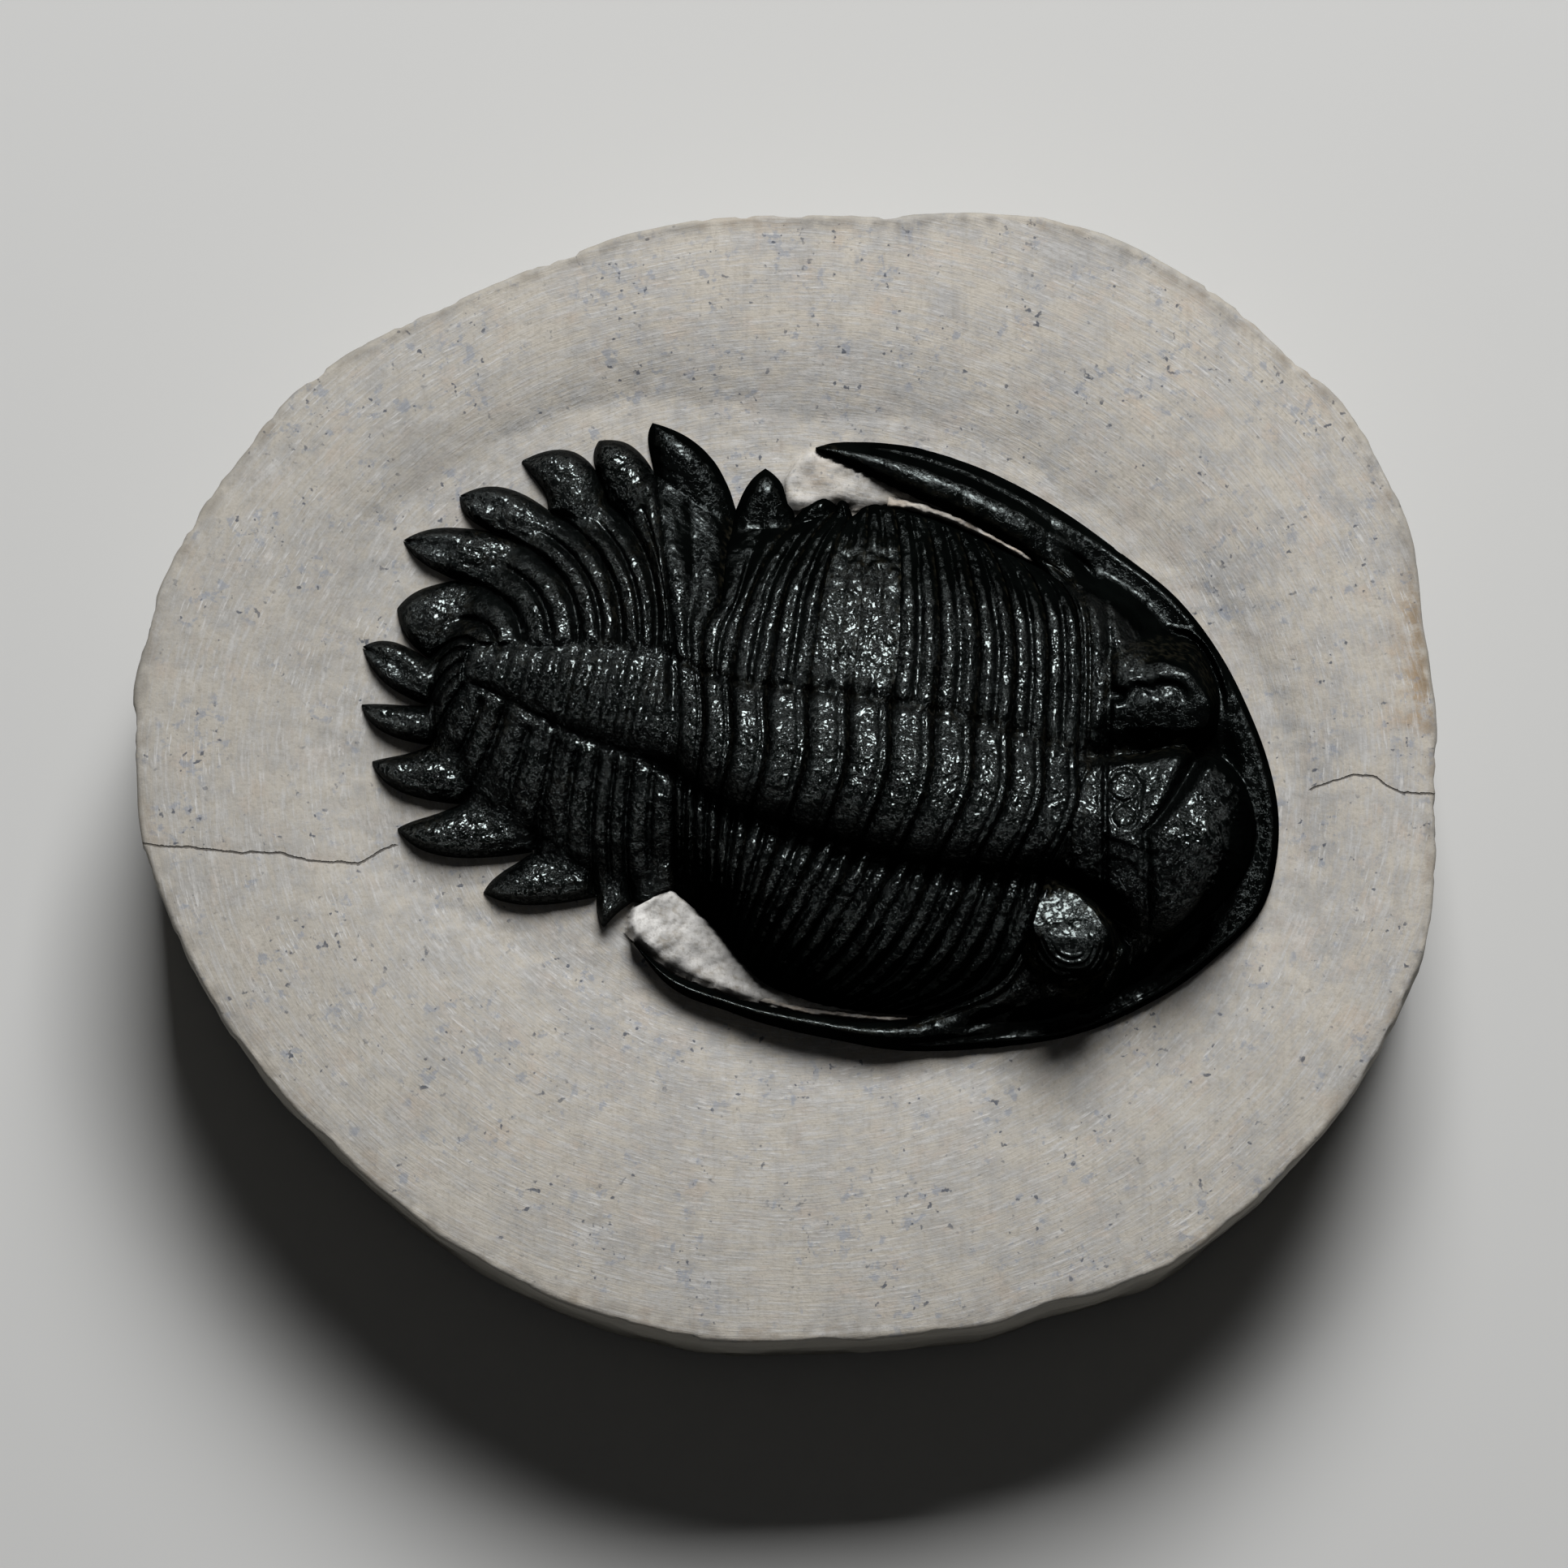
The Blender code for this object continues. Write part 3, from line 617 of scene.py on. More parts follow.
@dataclass(frozen=True)
class StoneFinish:
    """Sanded pale limestone: clouds, dark flecks, scratches that run round it, grime, rust, fine cracks, and
    painted shade.
    """

    name: str = "limestone"
    beige: Colour = (0.525, 0.487, 0.425)
    grey: Colour = (0.385, 0.377, 0.365)
    pale: Colour = (0.62, 0.61, 0.59)
    chalk: Colour = (0.80, 0.785, 0.755)
    warm: Colour = (0.56, 0.47, 0.375)
    blue: Colour = (0.24, 0.27, 0.33)
    # Bluish grey of the worked stone near the fossil, made darker as painted shade
    halo_and_painted_shade: Colour = (0.35, 0.355, 0.355)
    # Painted shade: the stone's colour towards its left and bottom, where less light falls
    shade: Colour = (0.36, 0.345, 0.31)
    fleck: Colour = (0.075, 0.085, 0.11)
    rust: Colour = (0.36, 0.26, 0.16)
    grime: Colour = (0.20, 0.175, 0.14)
    crack: Colour = (0.07, 0.062, 0.055)
    # Painted shade: the walls' darker colour, for the shade that they stand in
    side: Colour = (0.25, 0.235, 0.20)
    clouds: Cloud = Cloud(5.0, 6, 0.68)
    patches: Cloud = Cloud(1.2, 6, 0.7)
    warm_spots: Cloud = Cloud(2.4, 4, 0.7)
    blue_spots: Cloud = Cloud(0.8, 3, 0.65)
    clusters: Cloud = Cloud(3.0, 3, 0.6)
    specks: Cloud = Cloud(0.42, 2, 0.4)
    grains: Cloud = Cloud(0.3, 4, 0.6)
    streaks: Cloud = Cloud(2.2, 4, 0.65)
    scratches: Cloud = Cloud(1.1, 2, 0.5)
    hatching: Cloud = Cloud(0.35, 3, 0.6)
    hatch_stretch: tuple[float, float, float] = (1.0, 0.12, 1.0)
    # The sanding marks: squash of their rings, a radius in metres, how fast they change across, their waver
    squash: float = 0.87
    girth: float = 0.030
    across: float = 9.0
    wavers: Cloud = Cloud(9.0, 1)
    waver: float = 0.0006
    # Depths in millimetres
    grain_depth: float = 0.035
    scratch_depth: float = 0.03
    crack_depth: float = 0.1

    def _sanding(self, g: Graph, here: Wire) -> Wire:
        """Where to read noise so that it runs round the slab.

        Args:
            g: The stone's graph.
            here: The place on the stone.

        Returns:
            A place that changes slowly round the slab and fast across it.
        """
        flat = g.stretch(here, (self.squash, 1, 0))
        turn = g.node("ShaderNodeVectorMath", {"operation": "NORMALIZE"}, {0: flat})
        reach = g.node("ShaderNodeVectorMath", {"operation": "LENGTH"}, {0: flat}, "Value")
        reach = reach + g.noise(here, self.wavers) * self.waver
        lift = g.node("ShaderNodeCombineXYZ", {}, {2: reach * self.across})
        ring = g.stretch(turn, (self.girth, self.girth, 0))
        return g.node("ShaderNodeVectorMath", {"operation": "ADD"}, {0: ring, 1: lift})

    def material(self) -> Material:
        """Builds the material.

        Returns:
            The finished material.
        """
        g = Graph(self.name)
        here = g.place()
        sanding = self._sanding(g, here)
        streak, scratch = g.noise(sanding, self.streaks), g.noise(sanding, self.scratches)
        cloud, patch, grain = (g.noise(here, c) for c in (self.clouds, self.patches, self.grains))
        cluster, speck = g.noise(here, self.clusters), g.noise(here, self.specks)
        warm, blue = g.noise(here, self.warm_spots), g.noise(here, self.blue_spots)
        hatch = g.noise(g.stretch(here, self.hatch_stretch), self.hatching)
        top, bank = g.field("top"), g.field("bank")
        sanded = 1 - bank
        split = abs(g.field("crack") + (patch - 0.5) * 0.5) + g.field("beyond") * 0.6
        split = split.between(0.1, 0.03)
        tone = cloud * 0.35 + patch * 0.35 + streak * 0.3
        colour = g.paint(self.beige, (
            (tone.between(0.43, 0.58), 1.0, self.grey),
            (warm.between(0.52, 0.68), 0.55, self.warm),
            # Painted shade, darker towards the left and the bottom
            (g.field("shade"), 0.35, self.shade),
            # Near the fossil and on the banks: worked bluish stone, darkened partly as painted shade
            (g.field("near") * patch.between(0.3, 0.75), 0.4, self.halo_and_painted_shade),
            (bank * patch.between(0.3, 0.6), 1.0, self.chalk),
            (g.field("rust") * patch.between(0.35, 0.6), 1.0, self.rust),
            (streak.between(0.45, 0.70) * top, 0.5, self.pale),
            (hatch.between(0.50, 0.36), 0.10, self.grime),
            (grain.between(0.52, 0.3), 0.26, self.grime),
            (scratch.between(0.60, 0.70) * cluster.between(0.45, 0.6) * top, 0.7, self.pale),
            (blue.between(0.54, 0.66) * cluster.between(0.46, 0.58) * sanded, 0.55, self.blue),
            (speck.between(0.66, 0.74) * cluster.between(0.40, 0.60) * sanded, 0.85, self.fleck),
            (split, 0.85, self.crack),
            # Painted shade on the walls, below the top
            (1 - top, 0.8, self.side),
            # A darker brown band along the top's outer edge and its rounding
            (g.field("edge") * patch.between(0.35, 0.65), 0.55, self.grime),
        ))
        normal = g.bump(grain, self.grain_depth)
        normal = g.bump(scratch * top * sanded, self.scratch_depth, normal)
        normal = g.bump(1 - split, self.crack_depth, normal)
        links = {"Base Color": colour, "Roughness": 0.78 + grain * 0.15, "Normal": normal}
        return g.finish(links, {"Metallic": 0.0, "Specular IOR Level": 0.25})


# The slab


def inside(x: Array, y: Array, outline: Sequence[Pair]) -> Array:
    """How far places lie inside a closed outline.

    Args:
        x: Plan places.
        y: Plan places.
        outline: Its corners in order.

    Returns:
        Distance to the outline, negative outside it.
    """
    points = np.array(outline)
    within = np.zeros(x.shape, bool)
    nearest = np.full(x.shape, np.inf)
    for (ax, ay), (bx, by) in zip(points, np.roll(points, -1, axis=0)):
        wide, tall = bx - ax, by - ay
        if ay != by:
            within ^= ((ay > y) != (by > y)) & (x < wide * (y - ay) / tall + ax)
        t = np.clip(((x - ax) * wide + (y - ay) * tall) / (wide**2 + tall**2), 0, 1)
        nearest = np.minimum(nearest, np.hypot(x - ax - t * wide, y - ay - t * tall))
    return np.where(within, nearest, -nearest)


@dataclass(frozen=True)
class Crack:
    """A hairline that crosses the slab's rim."""

    line: Sequence[Pair]

    def offset(self, x: Array, y: Array) -> tuple[Array, Array]:
        """Measures places against the crack.

        Args:
            x: Plan places.
            y: Plan places.

        Returns:
            Distance across the crack, and past its ends.
        """
        xs, ys = zip(*self.line)
        return y - np.interp(x, xs, ys), np.maximum(np.maximum(xs[0] - x, x - xs[-1]), 0)


LEFT_BANK: Sequence[Pair] = (
    (11.6, 16.3), (8.3, 17.5), (5.85, 18.6), (4.0, 19.4), (2.35, 20.1), (1.6, 20.3), (0.7, 19.8),
    (-0.1, 18.5), (0.0, 16.9), (1.4, 16.9), (3.2, 17.3), (4.6, 16.9), (6.5, 16.9), (9.0, 16.2),
)
RIGHT_BANK: Sequence[Pair] = (
    (6.0, -14.5), (1.5, -13.3), (-1.4, -12.6), (-2.4, -11.4), (-3.2, -10.6), (-3.9, -9.7), (-5.0, -8.4),
    (-7.0, -6.6), (-8.15, -7.0), (-9.4, -7.8), (-9.7, -9.0), (-9.2, -9.8), (-7.65, -11.1), (-5.65, -12.1),
    (-3.25, -13.1), (1.0, -14.4),
)


@dataclass(frozen=True)
class MatrixSlab:
    """The limestone slab, with the bed that the fossil lies in and two banks of standing rock."""

    piece: Piece = Piece("limestone_slab", "matrix_slab", Slot.LIMESTONE)
    rim: float = 16.6
    edge_round: float = 0.55
    foot: float = 0.5
    foot_inset: float = 0.4
    columns: int = 640
    wall_rows: int = 26
    edge_rows: int = 6
    rings: int = 110
    outline_steps: int = 2400
    wall_waver: float = 0.14
    chip_depth: float = 0.5
    crack_depth: float = 0.08
    crack_width: float = 0.15
    # Radius that the wall's grain is laid out on, and the middle of a brown spot on the left bank
    girth: float = 38.0
    spot: Pair = (2.1, 18.8)
    # Height of each bank over the bed, its slope towards +Y, and the plan y where it has that height
    left_rise: tuple[float, float, float] = (0.9, 0.12, 17.0)
    right_rise: tuple[float, float, float] = (1.2, 0.13, -12.0)
    outline: Sequence[Pair] = (
        (40.25, 3.8), (40.1, -0.75), (40.2, -3.9), (39.9, -8.75), (39.1, -11.5), (36.95, -16.1),
        (34.5, -19.95), (31.7, -23.25), (28.15, -26.6), (24.1, -29.65), (21.6, -30.75), (19.1, -31.65),
        (16.6, -32.2), (14.1, -33.15), (11.6, -33.75), (6.6, -34.25), (1.6, -34.55), (-3.4, -34.6),
        (-8.4, -33.8), (-13.4, -32.25), (-18.4, -29.85), (-23.3, -26.6), (-28.65, -21.85),
        (-31.95, -18.5), (-35.3, -13.8), (-37.6, -9.45), (-39.0, -5.9), (-39.9, -2.5), (-40.25, 3.25),
        (-39.95, 7.25), (-38.8, 11.85), (-36.8, 15.85), (-34.5, 19.05), (-31.5, 22.85), (-28.35, 25.65),
        (-23.6, 28.35), (-18.75, 30.5), (-12.7, 32.85), (-8.4, 34.3), (-3.25, 35.05), (1.6, 35.15),
        (6.6, 35.0), (11.6, 35.25), (14.95, 35.1), (16.7, 34.8), (20.7, 33.45), (24.7, 31.35),
        (28.15, 29.05), (31.75, 25.9), (34.2, 23.75), (36.35, 20.45), (38.35, 16.15), (39.05, 12.7),
        (39.65, 7.85),
    )
    bed: Sequence[Pair] = (
        (31.6, -1.8), (31.1, -6.3), (28.9, -10.0), (24.1, -14.0), (18.1, -16.8), (9.1, -17.9),
        (-0.9, -16.3), (-9.4, -12.9), (-14.0, -10.6), (-19.4, -8.5), (-25.0, -4.8), (-27.2, 0.2),
        (-27.7, 5.2), (-27.0, 9.8), (-24.9, 15.8), (-21.4, 18.8), (-16.4, 21.5), (-9.9, 23.5),
        (-3.4, 23.2), (1.6, 22.3), (7.6, 22.3), (14.1, 19.8), (21.6, 15.0), (27.6, 9.3), (30.6, 3.3),
    )
    # Share of the way from the top's edge to the bed, and height above the rim
    dish: Sequence[Pair] = ((0.0, 0.0), (0.3, 0.1), (0.6, 0.0), (0.85, -0.4), (1.0, -0.8))
    cracks: Sequence[Crack] = (
        Crack((
            (-39.6, -3.75), (-36.7, -4.0), (-33.9, -4.25), (-31.2, -4.3), (-29.6, -4.7), (-28.0, -4.9),
            (-26.2, -4.95), (-24.9, -4.1), (-23.9, -3.75),
        )),
        Crack((
            (32.3, -0.4), (33.6, 0.1), (35.0, 0.5), (36.4, 0.4), (37.0, -0.2), (38.1, -0.6), (40.0, -0.7),
        )),
    )

    def _radius(self, outline: Sequence[Pair], height: float, angles: Array) -> Array:
        """Reads a closed smooth outline.

        Args:
            outline: Its plan points in order.
            height: The height that it is seen at.
            angles: Directions from the slab's middle.

        Returns:
            Distance from the middle to the outline in each direction.
        """
        plan = np.array([(*p, height) for p in (*outline, *outline[:3])])
        points = SIGHT.settle(plan)[:, :2]
        steps = np.linspace(1, len(outline) + 1, self.outline_steps, endpoint=False)
        dense = through(range(len(points)), points, steps)
        turn = np.arctan2(dense[:, 1], dense[:, 0])
        order = np.argsort(turn)
        return np.interp(angles, turn[order], np.hypot(*dense[order].T), period=2 * math.pi)

    def _rows(self, angles: Array) -> tuple[Array, Array, Array, Array]:
        """The slab's rows from its foot up the wall and over the top to the middle.

        Args:
            angles: Directions of the columns.

        Returns:
            Radius and height by row and column, how much of the top each row is, and its way to the bed.
        """
        outer = self._radius(self.outline, self.rim - self.edge_round / 2, angles)
        bed = self._radius(self.bed, BED, angles)
        lift = np.linspace(0, 1, self.wall_rows)
        rise = self.rim - self.edge_round - self.foot
        wall = [(outer - self.foot_inset, np.zeros_like(angles))]
        wall += [(outer, np.full_like(angles, self.foot + t * rise)) for t in lift]
        for turn in np.linspace(0, math.pi / 2, self.edge_rows + 1)[1:]:
            inset, drop = self.edge_round * (1 - math.cos(turn)), self.edge_round * (1 - math.sin(turn))
            wall.append((outer - inset, np.full_like(angles, self.rim - drop)))
        radius, height = (np.array([row[i] for row in wall]) for i in (0, 1))
        share = np.linspace(0, 1, self.rings)[1:, None]
        inner = radius[-1] * (1 - share**0.92)
        way = np.clip((radius[-1] - inner) / (radius[-1] - bed), 0, 1)
        height = np.concatenate([height, self.rim + along(self.dish, way)])
        on_edge = np.linspace(0, 1, self.edge_rows + 1)[1:]
        top = np.concatenate([np.zeros(len(wall) - self.edge_rows), on_edge, np.ones(len(inner))])
        way = np.concatenate([np.zeros((len(wall), len(angles))), way])
        return np.concatenate([radius, inner]), height, top[:, None], way

    def build(self, material: Material) -> None:
        """Makes the slab's mesh and puts it in the scene.

        Args:
            material: The stone's finish.
        """
        angles = np.linspace(-math.pi, math.pi, self.columns, endpoint=False)
        radius, height, top, way = self._rows(angles)
        rough = self._round_wall(Grain(5, 3.0, 4), angles, height)
        chips = self._round_wall(Grain(6, 1.2, 3), angles, 0.3 * height)
        chips = np.clip(chips - 0.35, 0, 1) * hump(height, self.rim, 1.4) * (1 - top)
        foot = step(height, 0.0, self.foot * 2)
        radius = radius - (self.wall_waver * (rough + 0.8) + self.chip_depth * chips) * (1 - top) * foot
        x, y = radius * np.cos(angles), radius * np.sin(angles)
        plan_x, plan_y = SIGHT.plan(np.stack([x, y, height], axis=-1))
        left, right = (step(inside(plan_x, plan_y, b), -0.2, 0.2) for b in (LEFT_BANK, RIGHT_BANK))
        carved = step(way, 0.55, 1.0)
        height = height + top * (0.09 * Grain(7, 13, 2).at(x, y) + 0.018 * Grain(8, 0.7, 3).at(x, y) - 0.1)
        height += carved * (0.035 * Grain(9, 1.0, 4).at(x, y) + 0.03 * Grain(10, 0.4, 2).at(x * 0.3, y))
        chalk = 0.17 * Grain(11, 0.8, 4).at(x, y)
        for bank, (base, slope, level) in ((left, self.left_rise), (right, self.right_rise)):
            height += bank * (base + chalk + slope * (plan_y - level))
        crack, beyond = np.where(plan_x < 0, *(c.offset(plan_x, plan_y) for c in self.cracks))
        cut = hump(crack, 0, self.crack_width) * hump(beyond, 0, 2 * self.crack_width)
        height -= self.crack_depth * cut * top
        fields = self._fields(plan_x, plan_y, top, way, np.maximum(0.4 * left, right))
        fields |= {"crack": crack, "beyond": beyond}
        numbers = np.arange(height.size).reshape(height.shape)
        points = np.stack([x, y, height], axis=-1).reshape(-1, 3)
        mesh = skin(self.piece.name, points, quads(numbers[:-1], ring=True), fields)
        self._close(mesh, numbers)
        self.piece.put(mesh, material)

    def _round_wall(self, grain: Grain, angles: Array, height: Array) -> Array:
        """Wraps a random field round the wall without a seam.

        Args:
            grain: The field.
            angles: Directions of the columns.
            height: Height by row and column.

        Returns:
            Its values by row and column.
        """
        share = step(np.abs(angles), 0.9 * math.pi, math.pi) / 2
        share = np.where(angles < 0, share, 1 - share)
        ahead = grain.at(self.girth * (angles % (2 * math.pi)), height)
        return grain.at(self.girth * angles, height) * (1 - share) + ahead * share

    def _fields(self, x: Array, y: Array, top: Array, way: Array, bank: Array) -> dict[str, Array]:
        """What the stone's finish needs to know of each point.

        Args:
            x: Plan places.
            y: Plan places.
            top: 1 on the top, 0 on the wall.
            way: Way from the top's edge to the bed.
            bank: 1 on the banks.

        Returns:
            The fields by name.
        """
        spot = hump(np.hypot(x - self.spot[0], y - self.spot[1]), 0, 0.9)
        rust = step(x, 36.5, 39.3) * step(y, 1, 5) * step(y, 15, 10) + 0.7 * spot
        return {
            # Painted shade: how far towards the left and the bottom each point lies
            "shade": np.maximum(step(x, 0, -34), 0.8 * step(y, -8, -30)),
            "top": np.broadcast_to(top, x.shape),
            # Where the halo colour goes, which is partly painted shade
            "near": np.maximum(step(way, 0.45, 1.0), bank),
            "bank": bank,
            # Along the top's outer edge and its rounding
            "edge": step(way, 0.07, 0.0) * top,
            "rust": rust * top,
        }

    @staticmethod
    def _close(mesh: Mesh, numbers: Array) -> None:
        """Closes the slab's underside, and its middle under the fossil.

        Args:
            mesh: The slab's mesh, open below and in the middle.
            numbers: Its vertex numbers by row and column, with the unused middle row last.
        """
        bm = bmesh.new()
        bm.from_mesh(mesh)
        bm.verts.ensure_lookup_table()
        bm.faces.new([bm.verts[i] for i in numbers[0][::-1]])
        bm.faces.new([bm.verts[i] for i in numbers[-2]])
        bmesh.ops.delete(bm, geom=[bm.verts[i] for i in numbers[-1]], context="VERTS")
        bmesh.ops.recalc_face_normals(bm, faces=bm.faces)
        bm.to_mesh(mesh)
        bm.free()


@dataclass(frozen=True)
class RockSeam:
    """A thin strip of rock left between the thorax and a genal spine.

    Args:
        name: The piece's name.
        line: Plan place, half width and height above the bed at points along it.
        steps: Rows along it.
        across: Columns across it.
    """

    name: str
    line: Sequence[tuple[float, float, float, float]]
    steps: int = 160
    across: int = 9

    def build(self, material: Material) -> None:
        """Makes the strip's mesh and puts it in the scene.

        Args:
            material: The stone's finish.
        """
        t = np.linspace(0, len(self.line) - 1, self.steps)
        x, y, half, height = through(range(len(self.line)), self.line, t).T
        way = np.gradient(np.stack([x, y], axis=-1), axis=0)
        side = np.stack([-way[:, 1], way[:, 0]], axis=-1) / np.linalg.norm(way, axis=1)[:, None]
        q = np.linspace(-1, 1, self.across)
        ragged = half * (1 + 0.35 * Grain(13, 0.7, 3).at(x, y))
        flat = np.stack([x, y], axis=-1)[:, None] + side[:, None] * (q[None] * ragged[:, None])[..., None]
        top = BED + height[:, None] * (0.75 + 0.25 * (1 - q[None] ** 4))
        top = top + 0.1 * Grain(14, 0.4, 3).at(flat[..., 0], flat[..., 1])
        whole = np.ones(top.shape)
        # The strips take the halo colour too, which is partly painted shade
        fields = {"top": whole, "near": whole, "bank": 0.35 * whole, "rust": 0.5 * whole, "crack": 9 * whole}
        seen = np.dstack([flat, top]).reshape(-1, 3)
        Piece(self.name, None, Slot.LIMESTONE).stand(seen, sheet(*top.shape), fields, material)


ROCK_SEAMS = (
    RockSeam("left_seam_rock", (
        (6.3, 17.35, 0.3, 2.0), (8.4, 16.95, 0.26, 2.5), (10.6, 16.2, 0.25, 2.7), (12.6, 15.2, 0.21, 2.8),
        (14.3, 14.25, 0.16, 2.8), (15.2, 13.7, 0.1, 2.3),
    )),
    RockSeam("right_seam_rock", (
        (-1.6, -13.3, 0.25, 1.6), (1.0, -13.95, 0.22, 1.9), (3.6, -14.25, 0.18, 2.1), (6.0, -14.5, 0.14, 2.1),
        (7.5, -14.5, 0.1, 1.8),
    )),
)


# The thorax


@dataclass(frozen=True)
class Thorax:
    """The jointed middle of the animal: where each rib line runs, and how high the shell stands."""

    count: int = 11
    furrow: float = 0.27
    # Station, and the plan places of its rib lines by their number
    nets: Sequence[tuple[float, dict[float, Pair]]] = (
        (-1.0, {0: (15.6, 13.3), 3: (10.5, 15.85), 6: (5.1, 17.1), 7: (3.95, 16.4), 8: (3.0, 16.7),
                9: (0.2, 15.85), 10: (-3.4, 16.0), 11: (-8.2, 19.1)}),
        (-0.8, {0: (17.2, 12.1), 3: (11.2, 13.75), 6: (5.0, 14.85), 9: (-0.8, 14.45), 10: (-3.7, 13.75),
                11: (-7.75, 16.25)}),
        (-0.6, {0: (18.1, 10.1), 3: (11.75, 11.0), 6: (4.7, 11.85), 9: (-2.15, 11.5), 10: (-4.0, 11.25),
                11: (-7.4, 13.25)}),
        (-0.42, {0: (18.25, 6.25), 3: (12.0, 7.75), 6: (4.35, 8.5), 9: (-2.9, 8.75), 11: (-7.0, 10.0)}),
        (-0.27, {0: (18.1, 2.0), 3: (11.7, 4.0), 6: (4.0, 5.5), 9: (-3.25, 6.35), 11: (-6.75, 7.65)}),
        (0.0, {0: (18.0, -1.5), 3: (11.45, -0.35), 6: (3.85, 1.15), 9: (-3.2, 2.65), 11: (-6.55, 4.35)}),
        (0.27, {0: (16.1, -5.65), 3: (9.2, -5.15), 6: (2.2, -3.5), 9: (-4.0, -1.25), 11: (-6.8, 0.75)}),
        (0.45, {0: (15.4, -8.0), 3: (8.1, -7.65), 6: (0.85, -6.25), 9: (-4.2, -3.5), 11: (-6.9, -1.0)}),
        (0.65, {0: (14.5, -10.5), 3: (6.35, -10.5), 6: (-0.5, -8.75), 9: (-4.3, -5.75), 11: (-6.95, -3.0)}),
        (0.85, {0: (12.35, -12.9), 3: (4.0, -12.75), 6: (-1.5, -10.75), 9: (-4.4, -7.65), 11: (-6.95, -5.0)}),
        (1.0, {0: (8.2, -14.35), 3: (2.0, -13.7), 6: (-2.0, -11.8), 9: (-4.4, -8.85), 11: (-6.9, -6.7)}),
    )
    # Station, and height above the bed
    profile: Sequence[Pair] = (
        (-1.0, 2.3), (-0.8, 4.35), (-0.6, 6.65), (-0.42, 8.05), (-0.3, 8.8), (-0.27, 8.9), (-0.21, 9.3),
        (-0.14, 10.0), (0.0, 10.7), (0.14, 10.5), (0.21, 9.3), (0.27, 7.5), (0.38, 7.8), (0.5, 7.2),
        (0.65, 5.9), (0.85, 3.9), (1.0, 1.9),
    )
    # Rib line, and share of the profile's height
    arch: Sequence[Pair] = ((0, 0.9), (3, 0.98), (6, 1.0), (9, 0.9), (11, 0.78))

    def place(self, ribs: Array, stations: Array) -> Array:
        """Places of rib lines at stations across the animal.

        Args:
            ribs: Rib lines, 0 behind the head to 11 before the tail, with fractions between.
            stations: -1 at the left tips, 0 on the crest, 1 at the right tips.

        Returns:
            Seen places by station and rib line.
        """
        lines = [through(list(net), list(net.values()), ribs) for _, net in self.nets]
        return through([s for s, _ in self.nets], np.array(lines), stations)

    def height(self, ribs: Array, stations: Array) -> Array:
        """Height above the bed without ridges, by station and rib line."""
        return along(self.profile, stations)[:, None] * along(self.arch, ribs)[None, :]

    def on_axis(self, stations: Array) -> Array:
        """1 on the axial lobe and 0 on the pleurae."""
        return step(self.furrow - np.abs(stations), -0.015, 0.035)


THORAX = Thorax()


@dataclass(frozen=True)
class Blade:
    """A free spine.

    Args:
        tip: Plan place of its tip.
        near: The point that its first edge bends towards.
        far: The point that its other edge bends towards.
        worn: How worn its crown is, from 0 to 1.
        swell: How much wider it is near the tip than its bends alone make it.
    """

    tip: Pair
    near: Pair
    far: Pair
    worn: float = 0.0
    swell: float = 0.45

    def spread(self, first: Array, last: Array, t: Array, across: Array) -> Array:
        """Plan places all over the spine.

        Args:
            first: Where its first edge starts.
            last: Where its other edge starts.
            t: Shares of the way to the tip.
            across: Shares of the way from the first edge to the other.

        Returns:
            Places by share across and share along.
        """
        one, other = bend(first, self.near, self.tip, t), bend(last, self.far, self.tip, t)
        half = (other - one) / 2 * (1 + self.swell * t[:, None] ** 2)
        return (one + other)[None] / 2 + half[None] * (2 * across[:, None, None] - 1)


SEGMENT_BLADES = {
    8: Blade((3.5, 17.5), (3.9, 17.2), (3.1, 17.3)),
    9: Blade((2.4, 17.65), (3.0, 17.4), (1.1, 17.15)),
    10: Blade((-1.25, 19.4), (0.15, 18.3), (-2.6, 18.3)),
    11: Blade((-8.2, 22.2), (-3.7, 20.8), (-8.35, 20.6)),
}


